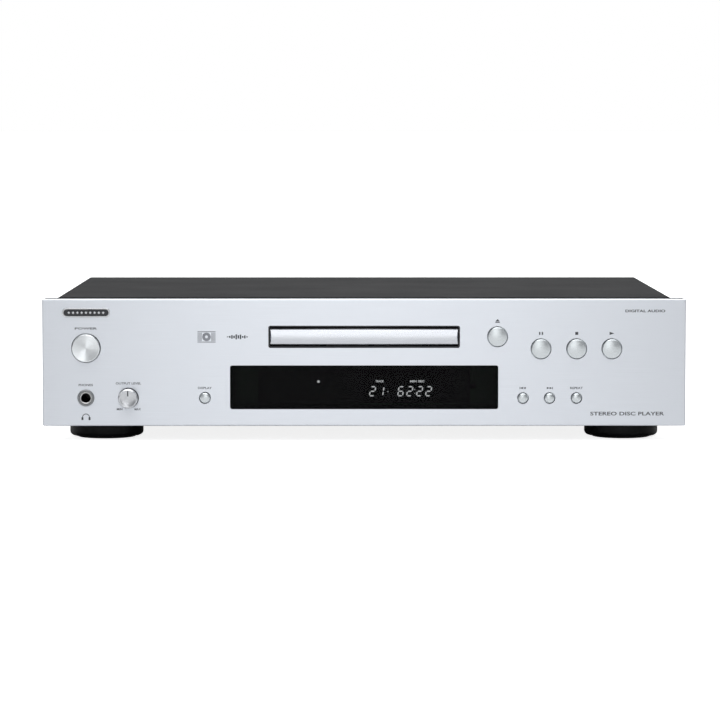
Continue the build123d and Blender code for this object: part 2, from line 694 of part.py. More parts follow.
def foot_pad(x, y):
    """Rubber ring under a foot."""
    ring = post(x, y, PAD_RADIUS, 0, PAD_THICKNESS)
    ring = fillet(ring.edges().sort_by(Axis.Z)[0], 0.6)
    return ring - post(x, y, PAD_HOLE, -1, PAD_THICKNESS + 1)


# ---------------------------------------------------------------- electronics
def transformer_core():
    """Laminated core with a window on each side of its middle limb, on a mounting plate."""
    low, high = TRANSFORMER_BOTTOM, TRANSFORMER_BOTTOM + CORE_HEIGHT
    core = block((CORE_LEFT, CORE_RIGHT), CORE_Y, (low, high))
    for left in (CORE_LEFT + CORE_LIMB, CORE_RIGHT - CORE_LIMB - CORE_WINDOW):
        opening = (low + CORE_LIMB, high - CORE_LIMB)
        core -= block((left, left + CORE_WINDOW), (CORE_Y[0] - 1, CORE_Y[1] + 1), opening)
    plate_x = (CORE_LEFT - 8, CORE_RIGHT + 8)
    return core + block(plate_x, CORE_Y, (CHASSIS_FLOOR, TRANSFORMER_BOTTOM))


def transformer_coil():
    """Winding round the middle limb, proud of the core at front and back."""
    edge = CORE_LIMB + 0.4
    x = (CORE_LEFT + edge, CORE_RIGHT - edge)
    z = (TRANSFORMER_BOTTOM + edge, TRANSFORMER_BOTTOM + CORE_HEIGHT - edge)
    coil = block(x, (CORE_Y[0] - COIL_PROUD, CORE_Y[1] + COIL_PROUD), z)
    coil = fillet(coil.edges().filter_by(Axis.Z), 5.0)
    limb = (CORE_LEFT + CORE_LIMB + CORE_WINDOW, CORE_RIGHT - CORE_LIMB - CORE_WINDOW)
    return coil - block(limb, CORE_Y, (0, 100))


def power_board():
    """Circuit board of the power supply, at the left."""
    return block((-200, -92), (-66, 38), (BOARD_BOTTOM, BOARD_TOP))


def main_board():
    """Circuit board of the servo, decoder and audio stages, at the right."""
    return block((80, 200), (-14, 132), (BOARD_BOTTOM, BOARD_TOP))


def board_components():
    """Capacitors, chips and finned regulators standing on the two boards."""
    parts = []
    for x, y, radius, height in CAPACITORS:
        can = post(x, y, radius, BOARD_TOP, BOARD_TOP + height)
        parts.append(fillet(can.edges().sort_by(Axis.Z)[-1], 0.6))
    for x, y, side in CHIPS:
        half = side / 2
        parts.append(block((x - half, x + half), (y - half, y + half), (BOARD_TOP, BOARD_TOP + 1.8)))
    for x in (-120.0, -102.0):
        z = (BOARD_TOP, BOARD_TOP + 26.0)
        sink = block((x - 6, x + 6), (-52.0, -49.0), z)
        for fin in range(4):
            left = x - 6 + fin * 3.6
            sink += block((left, left + 1.2), (-49.0, -41.0), z)
        parts.append(sink)
    return parts


def ribbon_cables():
    """Flat cables from the loader and from the front board to the main board."""
    y = (20.0, 34.0)
    loader = block((60.0, 78.4), y, (LOADER_FLOOR - RIBBON, LOADER_FLOOR))
    loader += block((78.4 - RIBBON, 78.4), y, (24.0, LOADER_FLOOR))
    loader += block((78.4 - RIBBON, 90.0), y, (24.0, 24.0 + RIBBON))
    x = (150.0, 164.0)
    front = block(x, (FRONT_BOARD_FRONT + BOARD, 0.0), (30.0, 30.0 + RIBBON))
    front += block(x, (-RIBBON, 0.0), (BOARD_TOP, 30.0))
    return loader, front


# ---------------------------------------------------------------- rear connectors
def phono_sockets():
    """Centres of the three phono sockets, as x and z."""
    return [(ANALOG_X, z) for z in ANALOG_Z] + [(COAXIAL_X, COAXIAL_Z)]


def socket_block():
    """Insulating bodies of the phono sockets and of the optical socket, one for each column."""
    front, back = REAR_PANEL_FRONT - 14.0, REAR_PANEL_FRONT
    height = (CHASSIS_FLOOR + CHASSIS_FLANGE + 0.5, 63.0)
    analog = block((ANALOG_X - 7, ANALOG_X + 7), (front, back), height)
    digital = block((COAXIAL_X - 7, COAXIAL_X + 7), (front, back), height)
    digital += window_block(OPTICAL_X, OPTICAL_Z, 10.6, 10.6, 0.4, back - 1, REAR_PANEL_BACK + 0.8)
    digital -= window_block(
        OPTICAL_X, OPTICAL_Z, OPTICAL_SIDE, OPTICAL_SIDE, 0.3,
        REAR_PANEL_BACK + 0.8 - OPTICAL_DEPTH, REAR_PANEL_BACK + 2,
    )
    bodies = []
    for body, sockets in ((analog, phono_sockets()[:2]), (digital, phono_sockets()[2:])):
        for x, z in sockets:
            body += rod(x, z, SOCKET_BORE - RUNNING_GAP, back - 1, SOCKET_BACK - 0.6)
            body -= rod(x, z, SOCKET_PIN, back - 4, SOCKET_BACK + 1)
        bodies.append(body)
    return bodies


def phono_shells():
    """Metal sleeve of each phono socket, with a collar against the rear panel."""
    shells = []
    for x, z in phono_sockets():
        sleeve = rod(x, z, SOCKET_RADIUS, REAR_PANEL_FRONT, SOCKET_BACK)
        sleeve = chamfer(sleeve.faces().sort_by(Axis.Y)[-1].edges(), 0.3)
        sleeve += rod(x, z, SOCKET_RADIUS + 1.6, REAR_PANEL_BACK, REAR_PANEL_BACK + 1.2)
        shells.append(sleeve - rod(x, z, SOCKET_BORE, REAR_PANEL_FRONT - 1, SOCKET_BACK + 1))
    return shells


def remote_jacks():
    """Two small sockets, one above the other, for remote control leads."""
    jacks = []
    half = REMOTE_SIDE / 2
    for z in REMOTE_Z:
        depth = (REAR_PANEL_FRONT - 12.0, REAR_PANEL_FRONT)
        body = block((REMOTE_X - half, REMOTE_X + half), depth, (z - half, z + half))
        body += rod(REMOTE_X, z, 3.5, REAR_PANEL_FRONT - 1, REAR_PANEL_BACK + 1.5)
        jacks.append(body - rod(REMOTE_X, z, REMOTE_BORE, REAR_PANEL_FRONT - 11.0, REAR_PANEL_BACK + 3))
    return jacks


def mains_inlet():
    """Two-pole inlet: a cup that opens to the rear, with a bezel on the panel."""
    outer_width = INLET_WIDTH + 2 * INLET_WALL
    outer_height = INLET_HEIGHT + 2 * INLET_WALL
    back = REAR_PANEL_BACK + 1.5
    front = back - INLET_DEPTH
    body = window_block(INLET_X, INLET_Z, outer_width, outer_height, 2.0, front - 3.0, back)
    body += window_block(INLET_X, INLET_Z, outer_width + 6, outer_height + 5, 2.5, REAR_PANEL_BACK, back)
    return body - window_block(INLET_X, INLET_Z, INLET_WIDTH, INLET_HEIGHT, 4.4, front, back + 1)


def inlet_pins():
    """The two contact pins of the inlet."""
    front = REAR_PANEL_BACK + 1.5 - INLET_DEPTH
    pins = []
    for side in (-1, 1):
        pin = rod(INLET_X + side * INLET_PIN_X, INLET_Z, INLET_PIN_RADIUS, front, front + INLET_DEPTH - 1.5)
        pins.append(fillet(pin.faces().sort_by(Axis.Y)[-1].edges(), 0.8))
    return pins


# ---------------------------------------------------------------- tray loader
def mesh_phase(phase, teeth, follower_teeth, bearing):
    """Angle of one tooth of a gear that meshes with another standing at a bearing from it."""
    past_tooth = ((bearing - phase) / (360 / teeth)) % 1
    return bearing + 180 + (past_tooth - 0.5) * 360 / follower_teeth


def pulley_gear_y():
    """The pulley gear stands where its small gear meshes with the tray gear."""
    reach = MODULE * (TRAY_GEAR_TEETH + SMALL_GEAR_TEETH) / 2
    return TRAY_GEAR_Y + math.sqrt(reach ** 2 - (PULLEY_GEAR_X - TRAY_GEAR_X) ** 2)


def loader_frame():
    """Moulded loader chassis: floor, side walls with tray rails, posts, gear pins and hinge ears."""
    length = (LOADER_FRONT, LOADER_BACK)
    frame = block((-LOADER_HALF, LOADER_HALF), length, (LOADER_FLOOR, LOADER_DECK))
    past = (LOADER_FLOOR - 1, LOADER_DECK + 1)
    frame -= block((DECK_LEFT - 2, DECK_RIGHT + 2), (CAM_FRONT - 2.5, DECK_BACK + 2), past)
    frame -= block((-46.0, 56.0), (CAM_FRONT - 2.5, CAM_BACK + 1.5), past)
    frame -= post(PULLEY_GEAR_X, MOTOR_Y, 3.5, *past)
    for side in (-1, 1):
        wall = sorted((side * LOADER_WALL_IN, side * LOADER_WALL_OUT))
        rail = sorted((side * (TRAY_HALF - 1.9), side * LOADER_WALL_IN))
        frame += block(wall, length, (LOADER_DECK, LOADER_WALL_TOP))
        frame += block(wall, (DISC_Y - BRIDGE_HALF, DISC_Y + BRIDGE_HALF), (LOADER_WALL_TOP, BRIDGE_BOTTOM))
        frame += block(rail, length, (TRAY_BOTTOM - 2.5, TRAY_BOTTOM - 0.3))
        for front in (-122.0, -30.0, 44.0):
            frame += block(rail, (front, front + 11), (TRAY_TOP + 0.4, TRAY_TOP + 2.4))
    for x, y in loader_posts():
        frame += post(x, y, 4.0, CHASSIS_FLOOR, LOADER_FLOOR)
        frame -= post(x, y, SCREW_SHANK + 0.2, CHASSIS_FLOOR - 1, CHASSIS_FLOOR + FLOOR_SCREW)
    for x, y in ((TRAY_GEAR_X, TRAY_GEAR_Y), (PULLEY_GEAR_X, pulley_gear_y())):
        frame += post(x, y, PIN_RADIUS, LOADER_FLOOR, LOAD_GEAR_TOP)
    for x in ((DECK_LEFT - 6.0, DECK_LEFT - 2.6), (DECK_RIGHT + 2.6, DECK_RIGHT + 6.0)):
        frame += block(x, (HINGE_Y - 5, HINGE_Y + 5), (LOADER_FLOOR, HINGE_Z + 5))
        frame -= cross_rod(HINGE_Y, HINGE_Z, HINGE_RADIUS + RUNNING_GAP, x[0] - 1, x[1] + 1)
    for x in (-30.0, 3.0, 40.0):
        frame += block((x, x + 4), (CAM_FRONT - 4.5, CAM_FRONT - 0.4), (44.0, 64.3))
    return frame


def clamper_bridge():
    """Steel strip over the tray that carries the clamper, stiffened by folded edges."""
    y = (DISC_Y - BRIDGE_HALF, DISC_Y + BRIDGE_HALF)
    top = BRIDGE_BOTTOM + BRIDGE_SHEET
    bridge = block((-LOADER_WALL_OUT, LOADER_WALL_OUT), y, (BRIDGE_BOTTOM, top))
    half = LOADER_WALL_IN - 1.5
    bridge += block((-half, half), (y[0], y[0] + BRIDGE_SHEET), (BRIDGE_BOTTOM - 3, BRIDGE_BOTTOM))
    bridge += block((-half, half), (y[1] - BRIDGE_SHEET, y[1]), (BRIDGE_BOTTOM - 3, BRIDGE_BOTTOM))
    bridge -= post(0, DISC_Y, 10.2, BRIDGE_BOTTOM - 1, top + 1)
    for x in (-38.0, 38.0):
        bridge -= post(x, DISC_Y, 7.0, BRIDGE_BOTTOM - 1, top + 1)
    return bridge


def clamper():
    """Puck that turns with the disc: a pressing face under the bridge and a flange above it."""
    low = SEAT_Z + CLAMP_GAP
    puck = post(0, DISC_Y, 15.0, low, low + 3.0) + post(0, DISC_Y, 9.5, low + 3.0, BRIDGE_BOTTOM + 2.2)
    puck += post(0, DISC_Y, 13.0, BRIDGE_BOTTOM + 2.2, BRIDGE_BOTTOM + 4.2)
    return puck - post(0, DISC_Y, CONE_RADIUS + 0.9, low - 1, low + 2.2)


def disc_tray():
    """Sliding tray with wells for both disc sizes, the pickup opening and a rack beneath."""
    tray = block((-TRAY_HALF, TRAY_HALF), (TRAY_FRONT_Y, TRAY_BACK), (TRAY_BOTTOM, TRAY_TOP))
    tray = fillet(tray.edges().filter_by(Axis.Z).sort_by(Axis.Y)[-2:], 3.0)
    tray -= post(0, DISC_Y, DISC_WELL, DISC_FLOOR, TRAY_TOP + 1)
    tray -= post(0, DISC_Y, SMALL_WELL, SMALL_FLOOR, TRAY_TOP + 1)
    past = (TRAY_BOTTOM - 1, TRAY_TOP + 1)
    tray -= post(0, DISC_Y, TRAY_NOTCH, *past)
    tray -= block((-TRAY_NOTCH, TRAY_NOTCH), (DISC_Y, TRAY_BACK + 1), past)
    for side in (-1, 1):
        pocket = sorted((side * (TRAY_NOTCH + 5), side * (TRAY_HALF - 5)))
        tray -= block(pocket, (2.0, TRAY_BACK - 5), (TRAY_BOTTOM + 2, TRAY_TOP + 1))
        finger = sorted((side * (DISC_WELL - 12), side * (DISC_WELL - 2)))
        tray -= block(finger, (DISC_Y - 11, DISC_Y + 11), (SMALL_FLOOR, TRAY_TOP + 1))
    pitch_x = TRAY_GEAR_X - MODULE * TRAY_GEAR_TEETH / 2
    teeth = rack(pitch_x, MODULE, -132.0, TRAY_BACK - 1, TRAY_GEAR_Y, TRAY_BOTTOM - 2.2, TRAY_BOTTOM)
    return tray + teeth


def tray_front():
    """Aluminium bar on the tray's front, crowned across its height and bevelled top and bottom."""
    low, high = SLOT_Z - TRAY_FRONT_HEIGHT / 2, SLOT_Z + TRAY_FRONT_HEIGHT / 2
    face, back = TRAY_FRONT_FACE, TRAY_FRONT_FACE + TRAY_FRONT_DEPTH
    shoulder = face + TRAY_FRONT_CROWN
    bevel = TRAY_FRONT_BEVEL
    sides = Polyline(
        (shoulder, low + bevel), (shoulder + bevel, low), (back, low),
        (back, high), (shoulder + bevel, high), (shoulder, high - bevel),
    )
    crown = ThreePointArc((shoulder, high - bevel), (face, SLOT_Z), (shoulder, low + bevel))
    half = TRAY_FRONT_WIDTH / 2
    bar = extrude(Plane.YZ.offset(-half) * make_face(sides + crown), TRAY_FRONT_WIDTH)
    for side in (-1, 1):
        corner = Pos(side * half, face, SLOT_Z) * Rot(0, 0, 45) * Box(1.0, 1.0, 2 * TRAY_FRONT_HEIGHT)
        bar -= corner
    return bar


def tray_gear():
    """Gear that drives the tray's rack, on a tall hub."""
    wheel = gear(TRAY_GEAR_X, TRAY_GEAR_Y, MODULE, TRAY_GEAR_TEETH, LOAD_GEAR_BOTTOM, LOAD_GEAR_TOP,
                 TRAY_GEAR_PHASE)
    wheel += post(TRAY_GEAR_X, TRAY_GEAR_Y, 2.6, LOADER_DECK + 0.3, LOAD_GEAR_BOTTOM)
    return wheel - post(TRAY_GEAR_X, TRAY_GEAR_Y, PIN_RADIUS + RUNNING_GAP, LOADER_DECK, LOAD_GEAR_TOP + 1)


def grooved_wheel(x, y, radius):
    """A pulley: two flanges with the belt's groove between them."""
    wheel = post(x, y, radius + 0.8, PULLEY_BOTTOM, PULLEY_TOP)
    groove = post(x, y, radius + 2, PULLEY_BOTTOM + 1, PULLEY_TOP - 1)
    return wheel - (groove - post(x, y, radius, PULLEY_BOTTOM, PULLEY_TOP))


def pulley_gear():
    """Belt pulley with the small gear that drives the tray gear."""
    y = pulley_gear_y()
    bearing = math.degrees(math.atan2(y - TRAY_GEAR_Y, PULLEY_GEAR_X - TRAY_GEAR_X))
    phase = mesh_phase(TRAY_GEAR_PHASE, TRAY_GEAR_TEETH, SMALL_GEAR_TEETH, bearing)
    wheel = gear(PULLEY_GEAR_X, y, MODULE, SMALL_GEAR_TEETH, LOAD_GEAR_BOTTOM, LOAD_GEAR_TOP, phase)
    wheel += post(PULLEY_GEAR_X, y, 3.4, LOADER_DECK + 0.3, LOAD_GEAR_BOTTOM)
    wheel += grooved_wheel(PULLEY_GEAR_X, y, PULLEY_RADIUS)
    return wheel - post(PULLEY_GEAR_X, y, PIN_RADIUS + RUNNING_GAP, LOADER_DECK, LOAD_GEAR_TOP + 1)


def motor_pulley():
    """Small pulley on the loading motor's shaft."""
    shaft = post(PULLEY_GEAR_X, MOTOR_Y, 1.0, 40.0, PULLEY_BOTTOM)
    return shaft + grooved_wheel(PULLEY_GEAR_X, MOTOR_Y, MOTOR_PULLEY_RADIUS)


def loading_motor():
    """Motor under the loader's floor, its boss through the floor."""
    can = post(PULLEY_GEAR_X, MOTOR_Y, 10.5, 32.0, LOADER_FLOOR)
    can = fillet(can.edges().sort_by(Axis.Z)[0], 1.5)
    can += post(PULLEY_GEAR_X, MOTOR_Y, 3.0, LOADER_FLOOR, LOADER_DECK + 1)
    return can - post(PULLEY_GEAR_X, MOTOR_Y, 1.0 + RUNNING_GAP, 39.5, LOADER_DECK + 2)


def drive_belt():
    """Rubber belt round the two pulleys."""
    def loop(extra):
        large = Pos(PULLEY_GEAR_X, pulley_gear_y()) * Circle(PULLEY_RADIUS + extra)
        small = Pos(PULLEY_GEAR_X, MOTOR_Y) * Circle(MOTOR_PULLEY_RADIUS + extra)
        return make_hull(large.edges() + small.edges())
    band = loop(BELT_GAP + BELT) - loop(BELT_GAP)
    middle = (PULLEY_BOTTOM + PULLEY_TOP) / 2
    return Pos(0, 0, middle - 0.6) * extrude(band, 1.2)


def cam_slot(x):
    """Corners of the stepped slot round one pin: a dwell at the top, a slope and a dwell at the bottom."""
    low = CAM_PIN_Z - CAM_TRAVEL
    return [
        (x + CAM_DWELL, CAM_PIN_Z), (x, CAM_PIN_Z), (x - CAM_TRAVEL, low), (x - CAM_TRAVEL - CAM_DWELL, low)
    ]


def cam_slider():
    """Sliding plate whose two stepped slots raise and lower the deck's front pins."""
    left, right = CAM_PINS_X
    margin = 5.0
    plate = block(
        (left - CAM_TRAVEL - CAM_DWELL - margin, right + CAM_DWELL + margin), (CAM_FRONT, CAM_BACK),
        (CAM_PIN_Z - CAM_TRAVEL - margin + 0.5, CAM_PIN_Z + margin - 0.5),
    )
    radius = PIN_RADIUS + CAM_CLEARANCE
    middle_y = (CAM_FRONT + CAM_BACK) / 2
    for x in CAM_PINS_X:
        corners = cam_slot(x)
        for corner_x, corner_z in corners:
            plate -= rod(corner_x, corner_z, radius, CAM_FRONT - 1, CAM_BACK + 1)
        for (start_x, start_z), (end_x, end_z) in zip(corners, corners[1:]):
            run = math.dist((start_x, start_z), (end_x, end_z))
            slope = math.degrees(math.atan2(end_z - start_z, end_x - start_x))
            leg = Rot(0, -slope, 0) * Box(run, CAM_BACK - CAM_FRONT + 2, 2 * radius)
            plate -= Pos((start_x + end_x) / 2, middle_y, (start_z + end_z) / 2) * leg
    return plate


# ---------------------------------------------------------------- traverse deck
def traverse_deck():
    """Plate that carries the disc motor and pickup, hinged at its rear and lifted at its front."""
    deck = block((DECK_LEFT, DECK_RIGHT), (DECK_FRONT, DECK_BACK), (DECK_BOTTOM, DECK_TOP))
    deck += block((DECK_LEFT, DECK_RIGHT), (DECK_FRONT, DECK_FRONT + 2), (CAM_PIN_Z - 3, DECK_BOTTOM))
    for x in CAM_PINS_X:
        deck += rod(x, CAM_PIN_Z, PIN_RADIUS, CAM_FRONT - 0.3, DECK_FRONT + 1)
    deck += cross_rod(HINGE_Y, HINGE_Z, HINGE_RADIUS, DECK_LEFT - 5.8, DECK_LEFT + 6)
    deck += cross_rod(HINGE_Y, HINGE_Z, HINGE_RADIUS, DECK_RIGHT - 6, DECK_RIGHT + 5.8)
    past = (DECK_BOTTOM - 1, DECK_TOP + 1)
    deck -= block((-19.0, 19.0), (SLED_FRONT - 0.6, SLED_FRONT + SLED_LENGTH + SLED_TRAVEL + 1.6), past)
    deck -= post(0, DISC_Y, 4.3, *past)
    for x in (-RAIL_X, RAIL_X):
        for y in ((RAIL_FRONT, RAIL_FRONT + 4), (RAIL_BACK - 3.6, RAIL_BACK + 0.4)):
            deck += block((x - 2, x + 2), y, (DECK_TOP, RAIL_Z + 2.4))
        deck -= rod(x, RAIL_Z, RAIL_RADIUS, RAIL_FRONT, RAIL_BACK)
    x = sled_gear_x()
    deck += post(x, SLED_GEAR_Y, 3.0, DECK_TOP, DECK_TOP + 1.3)
    deck -= post(x, SLED_GEAR_Y, PIN_RADIUS + RUNNING_GAP, DECK_BOTTOM - 1, DECK_TOP + 3)
    return deck


def sled_gear_x():
    """The sled gear stands one pitch radius to the right of the sled's rack."""
    return RACK_PITCH_X + SLED_MODULE * SLED_SMALL_TEETH / 2


def sled_motor_y():
    """The sled motor stands behind the sled gear, its pinion in mesh."""
    return SLED_GEAR_Y + SLED_MODULE * (SLED_LARGE_TEETH + SLED_PINION_TEETH) / 2


def sled_rails():
    """Two steel guide rods."""
    return [rod(x, RAIL_Z, RAIL_RADIUS, RAIL_FRONT, RAIL_BACK) for x in (-RAIL_X, RAIL_X)]


def spindle_motor():
    """Disc motor under the deck, its bearing boss through the deck."""
    can = post(0, DISC_Y, 12.0, 48.0, DECK_BOTTOM)
    can = fillet(can.edges().sort_by(Axis.Z)[0], 1.2)
    can += post(0, DISC_Y, 4.0, DECK_BOTTOM, SPINDLE_BOSS_TOP)
    return can - post(0, DISC_Y, SPINDLE_RADIUS + RUNNING_GAP, 50.0, SPINDLE_BOSS_TOP + 1)


def turntable():
    """Platter and centring cone on the spindle."""
    table = post(0, DISC_Y, PLATTER_RADIUS, SEAT_Z - 2.0, SEAT_Z)
    table += post(0, DISC_Y, 4.5, SPINDLE_BOSS_TOP + 0.5, SEAT_Z - 2.0)
    table += post(0, DISC_Y, SPINDLE_RADIUS, 50.5, SPINDLE_BOSS_TOP + 0.5)
    return table + Pos(0, DISC_Y, SEAT_Z + 1.0) * Cone(CONE_RADIUS, CONE_RADIUS - 1.3, 2.0)


def pickup_sled():
    """Carriage of the optical pickup: body, arms on the two rails, lens housing and drive rack."""
    y = (SLED_FRONT, SLED_FRONT + SLED_LENGTH)
    arm = (DECK_TOP + 0.2, RAIL_Z + 2.3)
    sled = block((-17.0, 17.0), y, (56.0, arm[1]))
    sled += block((-RAIL_X - 3, 0), y, arm)
    sled += block((0, RAIL_X + 3.2), y, arm)
    sled += post(0, lens_y(), 7.5, arm[1], LENS_SEAT)
    sled -= rod(-RAIL_X, RAIL_Z, RAIL_RADIUS + RUNNING_GAP, y[0] - 1, y[1] + 1)
    slot = (RAIL_Z - RAIL_RADIUS - RUNNING_GAP, RAIL_Z + RAIL_RADIUS + RUNNING_GAP)
    sled -= block((RAIL_X - 1.8, RAIL_X + 1.8), (y[0] - 1, y[1] + 1), slot)
    teeth = rack(RACK_PITCH_X, SLED_MODULE, RAIL_FRONT, -28.0, SLED_GEAR_Y, SLED_RACK_BOTTOM, SLED_RACK_TOP)
    return sled + teeth


def lens_y():
    """The lens sits in the middle of the sled."""
    return SLED_FRONT + SLED_LENGTH / 2


def pickup_lens():
    """Objective lens with its domed upper face."""
    edge = LENS_TOP - LENS_RISE
    sides = Polyline((0, LENS_TOP), (0, LENS_SEAT), (LENS_RADIUS, LENS_SEAT), (LENS_RADIUS, edge))
    outline = make_face(sides + crown(LENS_RADIUS, edge, LENS_TOP))
    return Pos(0, lens_y(), 0) * revolve(Plane.XZ * outline, Axis.Z)


def sled_gear():
    """Double gear: the small one above the deck drives the sled, the large one is below it."""
    x = sled_gear_x()
    small_phase = 180 + 180 / SLED_SMALL_TEETH
    wheel = gear(x, SLED_GEAR_Y, SLED_MODULE, SLED_SMALL_TEETH, SLED_RACK_BOTTOM, SLED_RACK_TOP, small_phase)
    wheel += post(x, SLED_GEAR_Y, PIN_RADIUS, DECK_BOTTOM - 1, SLED_RACK_BOTTOM)
    return wheel + gear(x, SLED_GEAR_Y, SLED_MODULE, SLED_LARGE_TEETH, DECK_BOTTOM - 3, DECK_BOTTOM - 1, 0)


def sled_pinion():
    """Pinion on the sled motor's shaft."""
    phase = mesh_phase(0, SLED_LARGE_TEETH, SLED_PINION_TEETH, 90)
    x, y = sled_gear_x(), sled_motor_y()
    pinion = gear(x, y, SLED_MODULE, SLED_PINION_TEETH, DECK_BOTTOM - 3, DECK_BOTTOM - 1, phase)
    return pinion + post(x, y, 0.75, 48.0, DECK_BOTTOM - 3)


def sled_motor():
    """Motor that hangs from the deck on two pillars."""
    x, y = sled_gear_x(), sled_motor_y()
    can = fillet(post(x, y, 8.0, 40.0, 55.6).edges().sort_by(Axis.Z)[0], 1.0)
    can += block((x - 12, x + 12), (y - 3, y + 3), (54.6, 55.6))
    for side in (-1, 1):
        can += post(x + side * 10.2, y, 1.5, 55.6, DECK_BOTTOM)
    return can - post(x, y, 0.75 + RUNNING_GAP, 47.5, 57.0)


# ---------------------------------------------------------------- writing the nodes
def main():
    os.makedirs("parts", exist_ok=True)
    pieces = [
        front_panel, front_frame, name_badge, display_window, display_tube, front_board, tact_switches,
        phones_jack, phones_ring, level_pot, pot_shaft, level_knob,
        top_cover, bottom_chassis, rear_panel,
        transformer_core, transformer_coil, power_board, main_board, board_components, ribbon_cables,
        socket_block, phono_shells, remote_jacks, mains_inlet, inlet_pins,
        loader_frame, clamper_bridge, clamper, disc_tray, tray_front, tray_gear, pulley_gear, motor_pulley,
        loading_motor, drive_belt, cam_slider,
        traverse_deck, sled_rails, spindle_motor, turntable, pickup_sled, pickup_lens, sled_gear,
        sled_pinion, sled_motor,
    ]
    for piece in pieces:
        made = piece()
        save(piece.__name__, *(made if isinstance(made, (list, tuple)) else [made]))
    for name, place in BUTTONS.items():
        save(name, push_button(*place))
    save("feet", *[foot(x, y) for x, y in foot_centres()])
    save("foot_pads", *[foot_pad(x, y) for x, y in foot_centres()])
    cover_places = side_screw_places() + lip_screw_places()
    save("cover_screws", *[screw(place, CASE_SCREW) for place in cover_places])
    save("panel_screws", *[screw(place, CASE_SCREW) for place in panel_screw_places()])
    upwards = floor_screw_places() + foot_screw_places()
    save("floor_screws", *[screw(place, FLOOR_SCREW) for place in upwards])


main()
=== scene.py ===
import math

import bmesh
import bpy
from mathutils import Matrix, Vector


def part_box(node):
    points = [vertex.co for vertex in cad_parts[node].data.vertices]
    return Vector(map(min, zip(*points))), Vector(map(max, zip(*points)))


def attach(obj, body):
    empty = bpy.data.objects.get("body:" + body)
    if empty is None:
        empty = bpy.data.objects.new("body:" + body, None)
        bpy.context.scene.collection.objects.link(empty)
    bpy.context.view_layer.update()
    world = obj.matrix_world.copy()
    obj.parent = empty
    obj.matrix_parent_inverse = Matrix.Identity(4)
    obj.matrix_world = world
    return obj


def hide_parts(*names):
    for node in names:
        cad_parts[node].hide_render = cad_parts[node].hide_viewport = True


# The looks of a full-width hi-fi CD player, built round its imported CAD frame.
# Metres; sizes are written in millimetres times MM. +X is right, the front faces -Y, +Z is up.

MM = 0.001

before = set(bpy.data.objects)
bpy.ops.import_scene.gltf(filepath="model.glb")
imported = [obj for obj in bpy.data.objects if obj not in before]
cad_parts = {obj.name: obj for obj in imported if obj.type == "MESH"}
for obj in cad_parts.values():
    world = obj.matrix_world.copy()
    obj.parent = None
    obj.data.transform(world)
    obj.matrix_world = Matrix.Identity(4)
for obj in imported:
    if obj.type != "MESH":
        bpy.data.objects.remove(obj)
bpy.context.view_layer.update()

FACE_LOW, FACE_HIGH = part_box("front_panel")
FACE_Y = FACE_LOW.y
REAR_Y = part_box("rear_panel")[1].y
FLOOR_GLOW = 0.85                    # emission of the floor, as the camera sees it
INK = 0.03 * MM                      # thickness of printed marks
CAP_FLANGE = 1.2 * MM                # a button's flange beyond its cap
WELD = 1e-7                          # metres within which points are one
FACE_THICKNESS = FACE_HIGH.y - FACE_LOW.y


def middle(node):
    """Centre of a CAD node's box."""
    low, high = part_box(node)
    return (low + high) / 2


